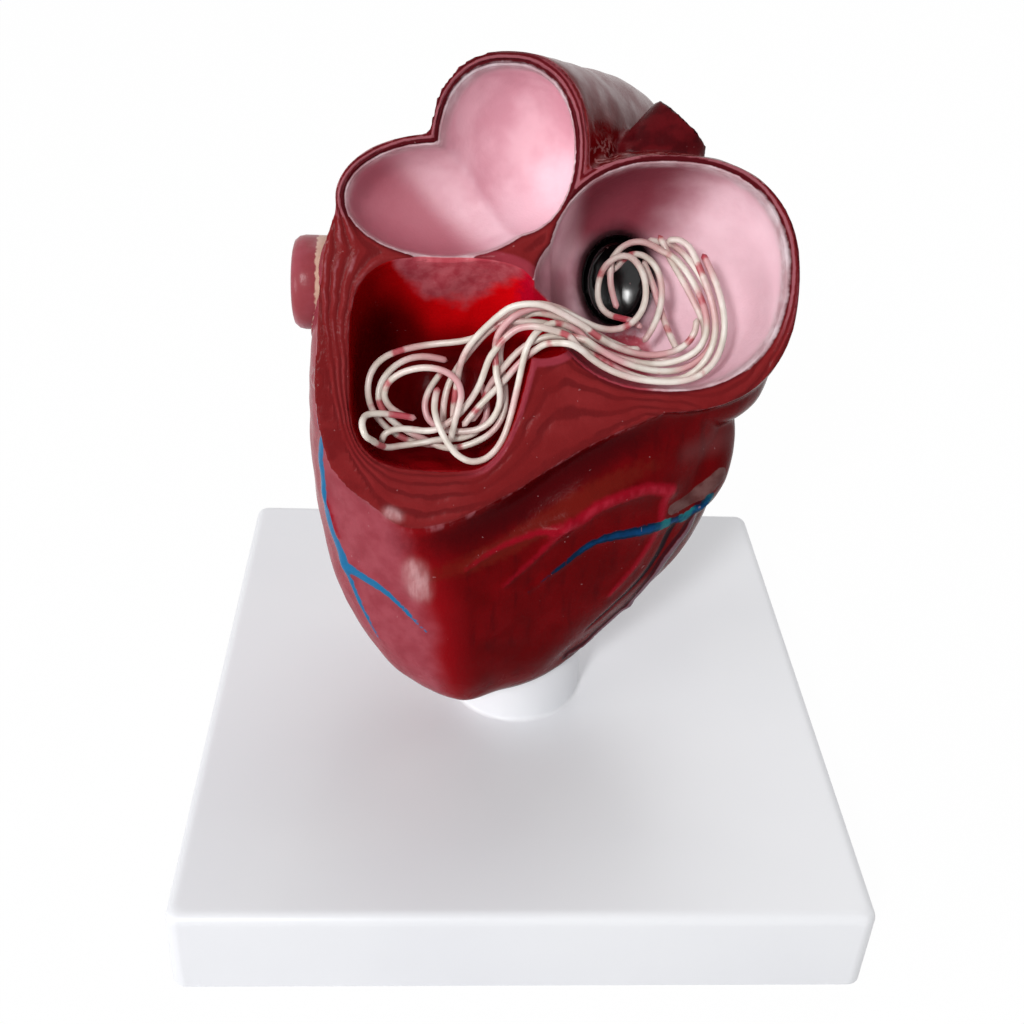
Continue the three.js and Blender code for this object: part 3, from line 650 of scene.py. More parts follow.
def inside_values(m):
    """What the paint of the cut face and the hollows follows."""
    x, u = m.across, m.up
    worn_and_lit_edge = np.interp(x, [-29, -26, -22, -14, -9, -4, -1], [50, 45.5, 42, 41.5, 44.5, 46.5, 50])
    return {
        "depth": m.depth,
        "across": x,
        "up": u,
        "rim": m.pink_wall - m.depth,
        "mouth": m.red_wall - m.depth,
        "pink": np.minimum(np.minimum(m.depth - 0.1, 1.3) - m.pink_wall, m.within - 0.9),
        "red": np.minimum(m.depth - 0.1, 1.3) - m.red_wall,
        "nearer": m.pink_wall - m.red_wall,
        "black": np.minimum(1.3 - m.walls["lumen"], m.walls["right"] + 0.2),
        "to_lumen": m.walls["lumen"],
        "layer": m.hollow / np.maximum(m.thick, 0.5),
        "thick": m.thick,
        "right": np.where(m.in_lumen, 9, np.minimum(m.walls["right"], m.walls["throat"])),
        "dusky_shade": ramp(x + u, 48, 31) * (m.walls["lower"] < 0.5),
        "worn_and_lit": np.where(m.red_wall < 1.3, u - worn_and_lit_edge, -9),
        "left_shade": np.exp(-((x + 28.5) / 7) ** 2 - ((u - 36) / 8) ** 2),
        "white": 1.1 * ramp(x, 32, 44) + 0.9 * ramp(u, 70, 82) - np.maximum(m.pink_wall, 0),
    }


def dress_heart():
    """Gives the casting its relief, and stores what its paint follows."""
    m = measured(heart.data)
    shape_face(m)
    lift = relief(m)
    kinds, vessel_lift = vessels(m)
    lift += vessel_lift
    place(heart.data, m.points + lift[:, None] * normals_of(heart.data))
    values = {**kinds, **outside_values(m), **inside_values(m)}
    values["gloss"] = np.where(values["black"] > 0.3, 2, np.where(values["pink"] > -0.55, 1, 0))
    for name, numbers in values.items():
        store(heart.data, name, numbers)


dress_heart()


# Materials

def rgb(code):
    """Linear colour of a web colour."""
    parts = [int(code[i:i + 2], 16) / 255 for i in (0, 2, 4)]
    return [p / 12.92 if p < 0.04045 else ((p + 0.055) / 1.055) ** 2.4 for p in parts] + [1]


class Nodes:
    """Shader nodes of a material or a world."""

    def __init__(self, tree):
        self.nodes, self.links = tree.nodes, tree.links

    def add(self, kind, inputs=(), **settings):
        node = self.nodes.new(kind)
        for key, value in settings.items():
            setattr(node, key, value)
        for key, value in dict(inputs).items():
            self.plug(value, node.inputs[key])
        return node

    def plug(self, value, socket):
        """Links a node's output or, by its name, a stored value of the mesh, or sets a plain value."""
        if isinstance(value, str):
            value = self.add("ShaderNodeAttribute", attribute_name=value).outputs["Fac"]
        if isinstance(value, bpy.types.NodeSocket):
            self.links.new(value, socket)
        else:
            socket.default_value = value

    def math(self, operation, a, b=0.0, clamp=False):
        return self.add("ShaderNodeMath", {0: a, 1: b}, operation=operation, use_clamp=clamp).outputs[0]

    def both(self, a, b):
        return self.math("MULTIPLY", a, b)

    def seen_ray(self):
        """1 for rays from the camera, reflections and refractions, and 0 for others."""
        rays = self.add("ShaderNodeLightPath").outputs
        seen = self.math("ADD", rays["Is Camera Ray"], rays["Is Glossy Ray"])
        return self.math("ADD", seen, rays["Is Transmission Ray"], clamp=True)


class Paint(Nodes):
    """A principled material whose colour, roughness and relief are drawn with nodes."""

    def __init__(self, name, **constants):
        self.material = bpy.data.materials.new(name)
        self.material.use_nodes = True
        super().__init__(self.material.node_tree)
        self.surface = self.nodes["Principled BSDF"]
        for socket, value in constants.items():
            self.surface.inputs[socket.replace("_", " ")].default_value = value
        self.object_place = self.add("ShaderNodeTexCoord").outputs["Object"]

    def step(self, value, low, high):
        """0 below low, 1 above high, smooth between them; the other way round if low is above high."""
        inputs = {"Value": value, "From Min": low, "From Max": high}
        return self.add("ShaderNodeMapRange", inputs, interpolation_type="SMOOTHSTEP").outputs[0]

    def noise(self, size, detail, stretch=None):
        """Noise with bumps of about that size in millimetres."""
        place = self.object_place
        if stretch:
            place = self.add("ShaderNodeVectorMath", {0: place, 1: stretch}, operation="MULTIPLY").outputs[0]
        inputs = {"Vector": place, "Scale": 1000 / size, "Detail": detail}
        return self.add("ShaderNodeTexNoise", inputs).outputs["Fac"]

    def noise_along(self, place, size):
        """The same along a line, by the place on it."""
        node = self.add("ShaderNodeTexNoise", noise_dimensions="1D")
        for key, value in (("W", place), ("Scale", 1 / size), ("Detail", 1)):
            self.plug(value, node.inputs[key])
        return node.outputs["Fac"]

    def wobbly(self, value, width, by):
        """A value whose edges are moved to and fro by that many millimetres of noise."""
        return self.math("ADD", value, self.both(self.math("SUBTRACT", by, 0.5), width))

    def mix(self, factor, a, b):
        return self.add("ShaderNodeMix", {"Factor": factor, 6: a, 7: b}, data_type="RGBA").outputs[2]

    def mottled(self, value, low, high, one, other):
        """Two web colours, the first where a value is low and the second where it is high."""
        return self.mix(self.step(value, low, high), rgb(one), rgb(other))

    def over(self, under, share, top, strength=1):
        """A colour with another, which may be a web colour, laid over a share of it."""
        top = rgb(top) if isinstance(top, str) else top
        return self.mix(share if strength == 1 else self.both(share, strength), under, top)

    def finish(self, color=None, rough=None, height=None, depth=0.2):
        if color is not None:
            self.plug(color, self.surface.inputs["Base Color"])
        if rough is not None:
            self.plug(rough, self.surface.inputs["Roughness"])
        if height is not None:
            bump = self.add("ShaderNodeBump", {"Height": height, "Distance": depth * MM, "Strength": 1.0})
            self.plug(bump.outputs[0], self.surface.inputs["Normal"])
        return self.material


class HeartPaint(Paint):
    """The heart's paint, with the noises that its regions share."""

    def __init__(self, name, specular):
        super().__init__(name, Specular_IOR_Level=specular)
        self.cloud, self.patch = self.noise(9, 3), self.noise(4, 3)
        self.fine, self.grain = self.noise(1.4, 3), self.noise(0.5, 2)
        self.streak = self.noise(2.2, 3, stretch=(1, 1, 0.25))

    def soft(self, value, width, low, high, by=None):
        """A step whose edge is moved to and fro by that many millimetres of noise."""
        return self.step(self.wobbly(value, width, by or self.fine), low, high)


def outside_paint(p):
    """Wine red muscle, lighter and rosier towards and left of the keel (partly painted light on the lit left
    side), brown in the groove with painted shade darkening its trough, and grey on the tube as a painted
    sheen.
    """
    color = p.mottled(p.cloud, 0.35, 0.7, "5c0205", "6c0409")
    color = p.over(color, p.step(p.streak, 0.5, 0.75), "4a0206", 0.6)
    # Lighter red near the keel and rose left of it: partly painted light, where the left side is lit
    near_keel = p.both(p.soft("keel", 5, 10, 1, p.cloud), p.soft("away", 40, -110, -75, p.cloud))
    color = p.over(color, near_keel, "850911")
    left = p.both(p.soft("keel", 5, 3, -3, p.cloud), p.soft("away", 40, -92, -57, p.cloud))
    color = p.over(color, left, p.mottled(p.patch, 0.3, 0.7, "8e3842", "9b4650"))
    # Painted shade: the groove under the section's front edge is darkened
    color = p.over(color, p.soft("groove", 0.3, 0.1, 0.8), "3c0206", 0.8)
    color = p.over(color, p.soft("fatty", 0.6, 0.3, 0.8), "6a1911", 0.7)
    # Painted sheen: grey over the top of the tube
    tube_sheen = p.both(p.soft("up", 9, 75, 84, p.cloud), p.step("depth", 1.5, 4))
    color = p.over(color, tube_sheen, p.mottled(p.patch, 0.3, 0.7, "8e7072", "a99697"), 0.85)
    # Painted sheen: a pale haze at the right end of the groove
    return p.over(color, p.soft("haze", 2, -2, 3, p.cloud), "6b3d3e", 0.5)


def vessel_paint(p, color):
    """Painted sheen with dark edges, fat, arteries with painted highlights down their cores, veins, and the
    dark line (partly painted shade), over the outside's colour.
    """
    # Painted sheen along the lower right outline, framed by painted dark lines
    edging = p.both(p.step("sheen", -1.5, -1), p.step("sheen", 0.1, -0.2))
    color = p.over(color, edging, "2c0410", 0.8)
    color = p.mix(p.soft("sheen", 0.5, -0.1, 0.3), color, p.mix(p.patch, rgb("64444f"), rgb("876a74")))
    color = p.mix(p.soft("fat", 0.5, 0, 0.25), color, p.mottled(p.patch, 0.35, 0.65, "552c2b", "6d4a48"))
    # Lighter streaky cores of the arteries: a painted highlight
    worn_and_lit = p.both(p.step("artery", 0.5, 1.4), p.step(p.streak, 0.35, 0.65))
    color = p.mix(p.soft("artery", 0.8, -0.3, 0.8), color, p.mix(worn_and_lit, rgb("8c0a1c"), rgb("a82436")))
    blue = p.mix(p.soft("vein", 0.8, 0.3, 1.3), rgb("051f38"), rgb("0a406f"))
    # Lighter blue left of the keel: partly painted light on the lit left side
    blue = p.over(blue, p.step("keel", 2, -2), "2b78a8", 0.7)
    teal = p.both(p.both(p.step("across", 25, 28), p.step(p.patch, 0.4, 0.6)), p.step("depth", 24, 18))
    blue = p.over(blue, teal, "1c6f78")
    color = p.mix(p.soft(p.wobbly("vein", 0.8, p.fine), 0.8, 0, 0.35, p.patch), color, blue)
    # The dark line: a crease painted near black, partly painted shade
    return p.over(color, p.soft("dark", 0.3, -0.2, 0.4), "1d0710")


def joint_paint(p, color):
    """The torn patch, the cut vessel, and the cream seam of the glued vein."""
    threads = p.math("ABSOLUTE", p.math("SUBTRACT", p.noise(3, 3, stretch=(0.5, 1, 1)), 0.5))
    color = p.over(color, p.both(p.step("torn", 0.1, 0.45), p.step(threads, 0.05, 0.015)), "a56c6c", 0.55)
    color = p.mix(p.soft("stump", 0.8, 1.6, 0.9), color, p.mottled(p.patch, 0.4, 0.6, "4a0a10", "5e1016"))
    color = p.over(color, p.step("stump", -0.9, -1.4), "2a0205")
    return p.over(color, p.soft("seam", 0.5, 0.1, 0.4), "d8b3a2")


# Rings of paint on thin cut edges: where they start and end from the chamber's rim, strength and colour
RINGS = (
    (0.6, 1.3, 0.8, "4b0a14"),
    (1.25, 1.75, 0.75, "a8646e"),
    (1.8, 2.3, 0.7, "560c18"),
    (2.2, 2.7, 0.5, "9c545e"),
)


def face_paint(p, wave):
    """Brownish red cut muscle with soft carved layers."""
    color = p.mottled(p.cloud, 0.3, 0.7, "741a1c", "802325")
    layers = p.math("ADD", 0.12, p.both(p.step(p.cloud, 0.3, 0.6), 0.4))
    color = p.over(color, p.both(p.step(wave, -0.1, -0.9), layers), "4f0c10")
    pale = p.both(p.soft(wave, 1.2, 0.55, 1.2), p.both(p.step("up", 26, 50), p.step("across", -28, -36)))
    color = p.over(color, p.both(pale, p.step(p.patch, 0.4, 0.6)), "a5646c", 0.6)
    rim = p.wobbly("rim", 0.35, p.fine)
    for start, end, strength, code in RINGS:
        ring = p.both(p.step(rim, start - 0.1, start + 0.15), p.step(rim, end + 0.1, end - 0.15))
        color = p.over(color, p.both(ring, p.step("thick", 5, 3.4)), code, strength)
    color = p.over(color, p.soft("rim", 0.3, 1.3, 0.5), "4b0a14", 0.7)
    lip = p.both(p.soft("mouth", 0.4, 2.0, 1.3), p.soft("across", 4, -16, -7, p.cloud))
    return p.over(color, lip, "9a3644", 0.75)


def chamber_paint(p):
    """Pale pink, with painted light where light falls in and painted shade darker towards the vessel in the
    right chamber; the dusky lower chamber and the right chamber's low left are partly painted shade.
    """
    color = p.mottled(p.cloud, 0.35, 0.7, "dfa8b6", "f2c6d1")
    in_right = p.step("right", 0.6, 0.2)
    in_upper = p.both(p.step("across", -14, -5), p.math("SUBTRACT", 1.0, in_right))
    slant = p.math("SUBTRACT", p.both("across", 0.55), p.both("up", 0.84))
    right_light = p.both(p.soft(slant, 6, -43, -25, p.cloud), in_right)
    upper_light = p.both(p.soft(slant, 6, -62, -52, p.cloud), in_upper)
    color = p.over(color, p.math("MAXIMUM", right_light, upper_light), "ffe0ea", 0.62)
    side = p.math("SUBTRACT", p.both("across", 0.9), p.both("up", 0.45))
    shade = p.both(p.soft(side, 4, 6, -10, p.cloud), p.both(p.soft("up", 5, 48, 58, p.cloud), in_right))
    color = p.over(color, p.both(shade, p.step("across", 3, 10)), "853744")
    # Dusky lower chamber: darker dusty pink, partly painted shade on its left
    color = p.over(color, p.soft("dusky_shade", 0.5, 0.1, 0.9, p.cloud), "b3606f", 0.85)
    # Painted shade: darker towards the dark pool of the vessel
    color = p.over(color, p.soft("to_lumen", 3, 4, 0.5, p.cloud), "3c0d18")
    # Pale band just inside the mouths: paint pooled at the rim, partly a painted highlight
    pale_paint_and_sheen = p.mottled(p.patch, 0.35, 0.65, "bb9298", "dcc4c8")
    color = p.over(color, p.soft("rim", 2.5, -6, -1, p.patch), pale_paint_and_sheen, 0.85)
    # Darker mauve low on the right chamber's left: partly painted shade
    low_left = p.both(p.both(p.soft("across", 5, 12, 4, p.cloud), p.soft("up", 4, 54, 47, p.cloud)), in_right)
    color = p.over(color, low_left, p.mottled("up", 50, 42, "a5606e", "6e2433"), 0.8)
    spot = p.both(p.soft("up", 6, 38, 35), p.soft("across", 8, 26, 21, p.patch))
    return p.over(color, spot, "a81c34", 0.9)


def mouth_paint(p, color):
    """White paint at the outer mouths of the chambers, partly a painted highlight on their bevels."""
    rim = p.wobbly("rim", 0.35, p.fine)
    white = p.both(p.soft("white", 0.7, 0, 0.5), p.soft(rim, 3, -5, -1.5, p.patch))
    white = p.both(white, p.step("depth", 7, 5))
    return p.over(color, white, p.mottled(p.patch, 0.3, 0.7, "b8979d", "d9c8cd"), 0.75)


def ventricle_paint(p):
    """Bright red, with painted shade darkening it towards the left, deep inside and below, and a rose band
    along its upper edge that is partly wear and partly painted light on the sloping top wall.
    """
    # Painted shade: darker towards the left, deep inside, low on the right and at the bottom
    color = p.mix(p.soft("across", 6, -33, -18, p.cloud), rgb("8a0307"), rgb("f20612"))
    color = p.over(color, p.both(p.soft("depth", 5, 7, 13, p.cloud), p.step("up", 40, 32)), "660307")
    color = p.over(color, p.both(p.soft("across", 4, -14, -7, p.cloud), p.step("up", 38, 33)), "6e0307", 0.85)
    color = p.over(color, p.soft("up", 2, 16, 12, p.cloud), "7a0812", 0.8)
    # Painted shade: a dark pool on the left
    color = p.over(color, p.soft("left_shade", 0.3, 0.1, 0.9, p.cloud), "520104", 0.85)
    # Rose band along the upper edge: partly wear, partly painted light on the sloping top wall
    worn_and_lit = p.soft(p.wobbly("worn_and_lit", 4, p.patch), 0.7, -1.2, 2.2)
    color = p.over(color, worn_and_lit, p.mottled(p.streak, 0.3, 0.7, "ab4350", "c4656f"), 0.9)
    crimson = p.both(p.soft("across", 3, -5.5, -2.5), p.step("up", 34, 40))
    return p.over(color, crimson, "b0082c", 0.8)


def glare_and_dust(p, color):
    """Painted glare (highlight) at the keel, and dust specks that are partly painted glints."""
    glare_streaks = p.math("ADD", 0.3, p.both(p.step(p.streak, 0.4, 0.65), 0.4))
    # Painted highlight: pale glare at the keel, broken into streaks
    color = p.over(color, p.both(p.step("keel_glare", 0.05, 1.1), glare_streaks), "cda0a2")
    # Sparse pale specks on the outside and the face: dust, partly painted glints
    dust_and_glints = p.both(p.step(p.noise(0.8, 0), 0.85, 0.88), p.step("pink", 0, -0.5))
    return p.over(color, dust_and_glints, "b98a8c", 0.3)


def heart_gloss(p, shiny):
    """Roughness, higher in the pink chambers and low in the dark pool."""
    rough = p.math("ADD", 0.2, p.both(p.step("pink", -0.7, -0.45), 0.14))
    rough = p.math("ADD", rough, p.both(p.step(p.cloud, 0.3, 0.8), 0.14))
    return p.both(rough, p.math("SUBTRACT", 1.0, p.both(shiny, 0.55)))


def heart_height(p, wave, shiny):
    """Fine relief: carved layers on the face, the paint's grain, and scratchy bumps in the keel's painted
    glare.
    """
    deep = p.math("ADD", 0.15, p.both(p.step(p.cloud, 0.4, 0.6), 0.35))
    height = p.both(p.both(wave, p.step("depth", 0.6, 0.2)), deep)
    height = p.math("ADD", height, p.both(p.math("ADD", p.fine, p.both(p.grain, 0.4)), 0.3))
    height = p.math("ADD", height, p.both("keel_glare", p.both(p.fine, 0.8)))
    return p.both(height, p.math("SUBTRACT", 1.0, shiny))


def heart_paint(name, specular):
    p = HeartPaint(name, specular)
    wave = p.math("SINE", p.both(p.wobbly("layer", 0.35, p.cloud), 25.0))
    outside = joint_paint(p, vessel_paint(p, outside_paint(p)))
    color = p.mix(p.soft("depth", 0.3, 0.75, 0.45), outside, face_paint(p, wave))
    # Painted highlight: a pale streaky line along the cut edge between face and outside
    edge = p.both(p.step("depth", 0.15, 0.5), p.step("depth", 1.6, 0.9))
    color = p.over(color, p.both(edge, p.soft(p.streak, 0.3, 0.45, 0.7)), "b0646c", 0.5)
    color = p.mix(p.soft("pink", 0.2, -0.7, -0.45), color, chamber_paint(p))
    color = mouth_paint(p, color)
    in_ventricle = p.both(p.soft("red", 0.2, -0.1, 0.15), p.step("nearer", -0.3, 0.3))
    color = p.mix(in_ventricle, color, ventricle_paint(p))
    color = glare_and_dust(p, p.over(color, p.step("black", -0.4, 0.6), "050304"))
    shiny = p.step("black", 0, 0.6)
    return p.finish(color, heart_gloss(p, shiny), heart_height(p, wave, shiny), 0.25)


def stand_paint():
    p = Paint("white_plastic")
    color = p.mottled(p.noise(60, 2), 0.3, 0.7, "e9eaee", "eeeff2")
    rough = p.math("ADD", 0.3, p.both(p.noise(18, 3), 0.12))
    return p.finish(color, rough, p.noise(1.2, 2), 0.012)


def worm_paint():
    p = Paint("worm_paint", Specular_IOR_Level=0.5)
    fine = p.noise(1.3, 2)
    color = p.mottled(p.noise(5, 2), 0.35, 0.65, "d2c6ba", "eae1d8")
    color = p.over(color, p.step(p.wobbly("facing", 0.9, fine), 0.55, -0.2), "b9827e", 0.6)
    place = p.math("ADD", "along", p.both("strand", 131.0))
    ragged = p.both(fine, 0.12)
    patches = p.math("ADD", p.noise_along(place, 17), ragged)
    color = p.over(color, p.step(patches, 0.48, 0.76), "cf858e", 0.75)
    spots = p.math("ADD", p.noise_along(p.math("ADD", place, 57.0), 8), ragged)
    color = p.over(color, p.step(spots, 0.7, 0.8), "b01a36", 0.85)
    return p.finish(color, 0.3, p.noise(0.8, 2), 0.05)


def steel_paint():
    p = Paint("plated_steel", Metallic=1.0)
    color = p.mix(p.noise(3, 3), rgb("a9abb0"), rgb("c4c6ca"))
    rough = p.math("ADD", 0.22, p.both(p.noise(1.5, 3, stretch=(1, 1, 0.1)), 0.2))
    return p.finish(color, rough, p.noise(0.7, 2, stretch=(1, 1, 6)), 0.01)


def bush_paint():
    p = Paint("natural_plastic")
    color = p.mix(p.noise(6, 3), rgb("d2cbbd"), rgb("ddd7cb"))
    return p.finish(color, 0.45, p.noise(0.9, 2), 0.02)


def stub_paint():
    """Rose, with cream paint where the vein is glued on."""
    p = Paint("stub_paint", Specular_IOR_Level=0.2)
    cloud, fine = p.noise(7, 3), p.noise(1.4, 3)
    color = p.mottled(cloud, 0.35, 0.7, "8f3840", "a04e5c")
    across = p.both(p.add("ShaderNodeSeparateXYZ", {0: p.object_place}).outputs[0], 1000.0)
    root = p.step(p.math("ADD", across, p.both(fine, 1.4)), VEIN_X - 4.4, VEIN_X - 4)
    color = p.mix(root, color, p.mix(fine, rgb("c49a86"), rgb("e3c6b2")))
    return p.finish(color, p.math("ADD", 0.25, p.both(cloud, 0.15)), fine, 0.08)


HEART = heart_paint("heart_paint", 0.03)
CHAMBER = heart_paint("chamber_paint", 0.2)
LUMEN = heart_paint("lumen_paint", 0.5)
STAND, WORM, STEEL, BUSH, STUB = stand_paint(), worm_paint(), steel_paint(), bush_paint(), stub_paint()


def dressed(thing, material, slot, body, *nodes):
    thing.data.materials.clear()
    thing.data.materials.append(material)
    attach(thing, body)
    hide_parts(*nodes)


heart.name = heart.data.name = "painted_heart"
dressed(heart, HEART, "heart", "heart", "heart_casting")
heart.data.materials.append(CHAMBER)
heart.data.materials.append(LUMEN)
gloss = np.empty(len(heart.data.vertices))
heart.data.attributes["gloss"].data.foreach_get("value", gloss)
for polygon in heart.data.polygons:
    polygon.material_index = int(gloss[list(polygon.vertices)].min())


# Stump of the vein on the left: radius, and distance from its foot

VEIN_PROFILE = [
    (0, 0), (9.3, 0), (9.3, 7.5), (9.05, 8.6), (8.3, 9.5), (7.3, 9.8), (5.2, 9.7), (4.6, 9.3), (4.2, 8.3),
    (3.7, 6.9), (0, 6.8),
]


def make_stub():
    stub = spun("vein_stump", VEIN_PROFILE)
    points = points_of(stub.data)
    place(stub.data, np.column_stack([-points[:, 2], points[:, 1], points[:, 0]]) + VEIN_FOOT)
    stub.data.flip_normals()
    return stub


dressed(make_stub(), STUB, "heart", "heart", "vein_stub")


# Worms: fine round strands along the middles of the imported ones

STRANDS, STRAND_RADIUS, STRAND_SIDES, STRAND_STEP = 14, 0.66, 12, 0.6
END_RING = 1.45  # how far a packed strand's first ring reaches from its tip
TIP_LENGTH = 0.8  # length of a strand's round ends


def middle_line(mesh):
    """Middles of the rings of a packed strand, from one end to the other."""
    bm = bmesh.new()
    bm.from_mesh(mesh)
    bmesh.ops.remove_doubles(bm, verts=bm.verts, dist=1e-6)
    bm.verts.ensure_lookup_table()

    def levels(first):
        seen_verts, rows = set(first), [list(first)]
        while rows[-1]:
            row = {e.other_vert(v) for v in rows[-1] for e in v.link_edges} - seen_verts
            seen_verts |= row
            rows.append(sorted(row, key=lambda v: v.index))
        return rows[:-1]

    far = levels([bm.verts[0]])[-1][0]
    ring = [v for v in bm.verts if (v.co - far.co).length < END_RING * MM]
    rows = levels(ring)
    middles = np.array([np.mean([v.co for v in row], axis=0) for row in rows]) / MM
    bm.free()
    return middles


def tip(along, length):
    """Share of its radius that a strand has at a place along it; its ends are round."""
    end = min(along, length - along)
    return math.sqrt(max(0.02, 1 - max(0, 1 - end / TIP_LENGTH) ** 2))


def strand(name, index, middles):
    line = spline(middles, [round(gap / STRAND_STEP) for gap in steps_of(middles)])
    tangents = np.gradient(line, axis=0)
    tangents /= np.linalg.norm(tangents, axis=1)[:, None]
    along = np.concatenate([[0], np.cumsum(steps_of(line))])
    side = np.cross(tangents[0], SECTION[2])
    bm = bmesh.new()
    lengths, facings, numbers = (bm.verts.layers.float.new(name) for name in ("along", "facing", "strand"))
    rings = []
    for point, tangent, distance in zip(line, tangents, along):
        side = side - tangent * side.dot(tangent)
        side /= np.linalg.norm(side)
        other = np.cross(tangent, side)
        uneven = 1 + 0.04 * noise.noise(Vector((distance / 5, index * 3.7, 0)))
        radius = STRAND_RADIUS * tip(distance, along[-1]) * uneven
        ring = []
        for j in range(STRAND_SIDES):
            turn = 2 * math.pi * j / STRAND_SIDES
            out = math.cos(turn) * side + math.sin(turn) * other
            vert = bm.verts.new(point + radius * out)
            vert[lengths], vert[facings], vert[numbers] = distance, out.dot(SECTION[2]), index
            ring.append(vert)
        rings.append(ring)
    join_loops(bm, rings)
    return finished(name, bm)


for index in range(1, STRANDS + 1):
    node = f"worm_{index:02d}"
    piece = strand(f"strand_{index:02d}", index, middle_line(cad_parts[node].data))
    dressed(piece, WORM, "worm", "heart", node)


# Stand

STAND_HALF, STAND_FLARE, STAND_CORNER, STAND_EDGE = 70, 0.5, 3, 2.2
BAY_HALF, BAY_MIDDLE, BAY_CORNER = 33.15, 34.25, 2.9
BAY_SPREAD, BAY_DRAFT, TOP_WALL = 1.0257, 0.00125, 2.6  # size of a bay at z 0, and its loss per millimetre up
BOSS_RADIUS, BOSS_BOTTOM, SCREW_RADIUS = 9, 6, 2.3


def outline(half, corner, z, arc=12):
    """A square with round corners."""
    points = []
    for quarter in range(4):
        cx = (half - corner) * (1, -1, -1, 1)[quarter]
        cy = (half - corner) * (1, 1, -1, -1)[quarter]
        for i in range(arc + 1):
            turn = math.pi / 2 * (quarter + i / arc)
            points.append((cx + corner * math.cos(turn), cy + corner * math.sin(turn), z))
    return points


def disc(name, radius, bottom, top, segments=64):
    return spun(name, [(0, bottom), (radius, bottom), (radius, top), (0, top)], segments)


def stacked(name, rings):
    """A closed form through outlines that lie one above another."""
    bm = bmesh.new()
    join_loops(bm, [[bm.verts.new(p) for p in ring] for ring in rings])
    return finished(name, bm, smooth=False)


def bay(sx, sy):
    """One of the four hollows under the stand, which get wider towards the open side."""
    rings = []
    for z in (-1, GROUND - TOP_WALL):
        spread = BAY_SPREAD - BAY_DRAFT * z
        rings.append([((x + sx * BAY_MIDDLE) * spread, (y + sy * BAY_MIDDLE) * spread, z)
                      for x, y, _ in outline(BAY_HALF, BAY_CORNER, z, 8)])
    return stacked("bay", rings)


def stand_body():
    """The outside of the stand, with a round upper edge."""
    def side(z):
        return STAND_HALF + STAND_FLARE * (1 - z / GROUND)

    rings = [outline(side(0), STAND_CORNER + 0.2, 0)]
    for i in range(9):
        turn = math.pi / 2 * i / 8
        inset = STAND_EDGE * (1 - math.cos(turn))
        z = GROUND - STAND_EDGE * (1 - math.sin(turn))
        rings.append(outline(side(z) - inset, max(STAND_CORNER - inset, 2.2), z))
    rings.append(outline(side(GROUND) - 2.8, 2, GROUND))
    return stacked("white_stand", rings)


def make_stand():
    stand = stand_body()
    boss = disc("boss", BOSS_RADIUS, BOSS_BOTTOM, GROUND - 1)
    cut = [bay(sx, sy) for sx, sy in ((1, 1), (-1, 1), (-1, -1), (1, -1))]
    for hollow in cut:
        combine(hollow, "DIFFERENCE", boss)
    cut.append(disc("mouth", BOSS_RADIUS, -1, BOSS_BOTTOM))
    cut.append(disc("hole", SCREW_RADIUS, BOSS_BOTTOM - 1, GROUND + 1.5, 32))
    combine(stand, "DIFFERENCE", *cut)
    baked(stand, boss, *cut)
    stand.data.shade_smooth()
    return crisp(stand, 25)


dressed(make_stand(), STAND, "stand", "stand", "base_shell")


# Post, peg and bush: radius, and height over the stand's top for the post's foot, or else over the seat

POST_FOOT = [(0, 7.5), (SCREW_RADIUS, 7.5), (SCREW_RADIUS, 0), (16.1, 0)]
POST_FOOT += [(15.75, 0.1), (15.5, 0.3), (15.35, 0.6), (15.3, 1)]
POST_TOP = [(14.82, -1.1), (14.6, -0.5), (14, -0.1), (13.4, 0), (3.35, 0), (3.35, -14), (0, -14)]
PEG = [(0, -13.7), (2.4, -13.7), (3, -13.1), (3, 19.4), (2.8, 19.8), (2.4, 20), (0, 20)]
BUSH_WALL = [(3.75, 0.3), (5.3, 0.3), (5.6, 0.6), (5.6, 23.3), (0, 23.3), (0, 20.3), (3.35, 20.3)]
BUSH_WALL += [(3.35, 0.7), (3.75, 0.3)]


def raised(profile, base):
    return [(r, base + z) for r, z in profile]


post = crisp(spun("round_post", raised(POST_FOOT, GROUND) + raised(POST_TOP, SEAT), 128))
dressed(post, STAND, "stand", "stand", "post")
dressed(crisp(spun("steel_peg", raised(PEG, SEAT), 64)), STEEL, "steel", "peg", "swivel_peg")
dressed(crisp(spun("peg_bush", raised(BUSH_WALL, SEAT), 64)), BUSH, "bush", "heart", "heart_bush")

for node in ("post_screw", "screw_washer"):
    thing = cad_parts[node]
    thing.data.materials.clear()
    thing.data.materials.append(STEEL)


# Floor, light and background

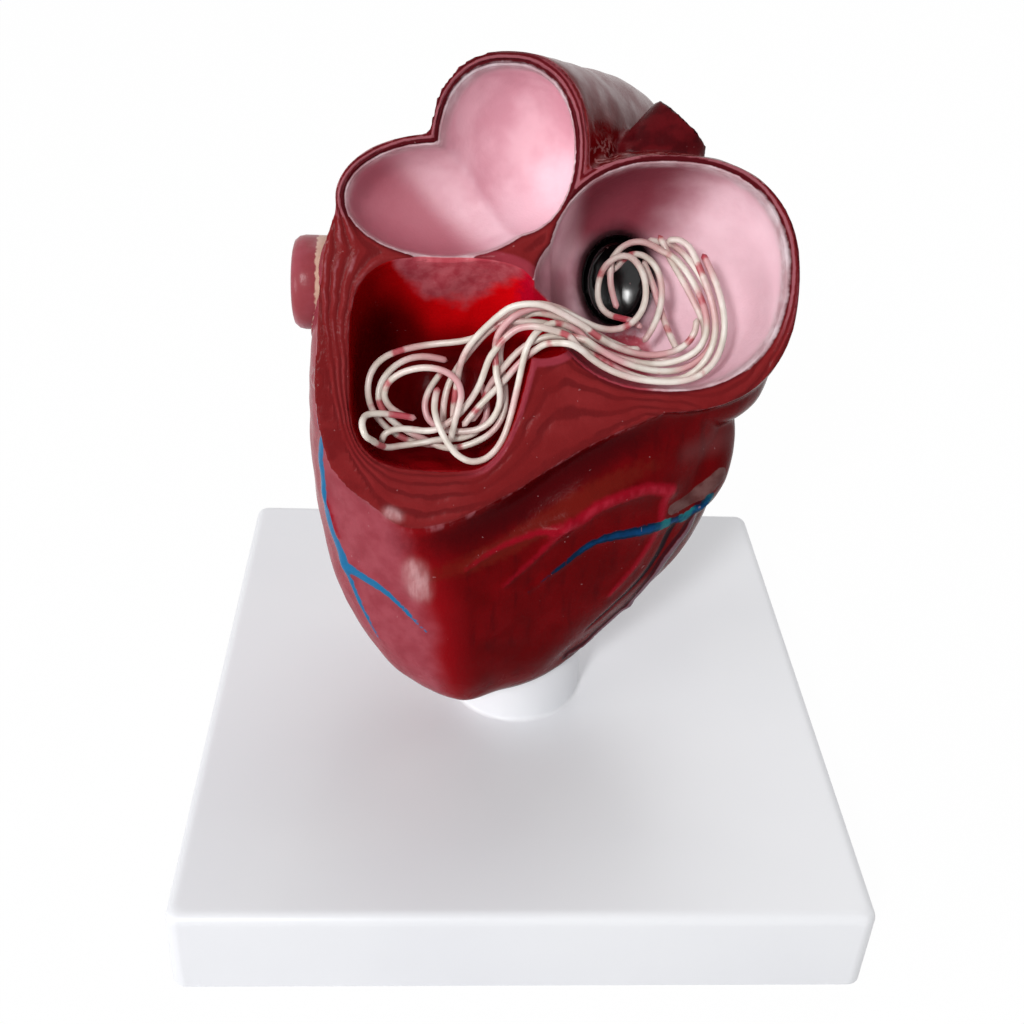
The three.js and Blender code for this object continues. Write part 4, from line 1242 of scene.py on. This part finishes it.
FLOOR_GLOW, FLOOR_SHARE = 1.03, 0.94  # brightness of the white background, and how much of it shows
ROOM_LIGHT = 0.42  # strength of the even light that falls on the object
LAMPS = {
    "window": dict(at=(-0.42, -0.95, 0.72), aim=(0, 0, 0.09), size=(0.16, 0.22), watts=7.4),
    "side": dict(at=(-1.1, -0.5, 0.22), aim=(0, 0, 0.07), size=(0.5, 0.35), watts=4.2),
    "back": dict(at=(0.3, 0.7, 1.0), aim=(0, 0, 0.05), size=(0.8, 0.8), watts=3.6),
}


def make_floor():
    bm = bmesh.new()
    bmesh.ops.create_grid(bm, x_segments=1, y_segments=1, size=3000)
    floor = finished("floor", bm)
    p = Paint("floor_paint", Roughness=0.6)
    p.finish(p.mix(p.noise(400, 2), rgb("bcbcbe"), rgb("c2c2c4")))
    glow = p.add("ShaderNodeEmission", {"Color": (1, 1, 1, 1), "Strength": FLOOR_GLOW})
    inputs = {0: p.both(p.seen_ray(), FLOOR_SHARE), 1: p.surface.outputs[0], 2: glow.outputs[0]}
    p.plug(p.add("ShaderNodeMixShader", inputs).outputs[0], p.nodes["Material Output"].inputs["Surface"])
    floor.data.materials.append(p.material)


make_floor()


def make_room():
    """An even white light, which cameras, reflections and refractions see at full brightness."""
    scene.world = bpy.data.worlds.new("room")
    scene.world.use_nodes = True
    n = Nodes(scene.world.node_tree)
    background = n.nodes["Background"].inputs
    n.plug((1, 1, 1, 1), background["Color"])
    n.plug(n.math("ADD", n.both(n.seen_ray(), 1 - ROOM_LIGHT), ROOM_LIGHT), background["Strength"])


make_room()


def lamp(name, at, aim, size, watts):
    light = bpy.data.lights.new(name, "AREA")
    light.shape = "RECTANGLE"
    light.size, light.size_y = size
    light.energy = watts
    thing = bpy.data.objects.new(name, light)
    thing.location = at
    thing.rotation_euler = (Vector(aim) - Vector(at)).to_track_quat("-Z", "Y").to_euler()
    scene.collection.objects.link(thing)


for name, settings in LAMPS.items():
    lamp(name, **settings)

scene.view_settings.view_transform = "Standard"
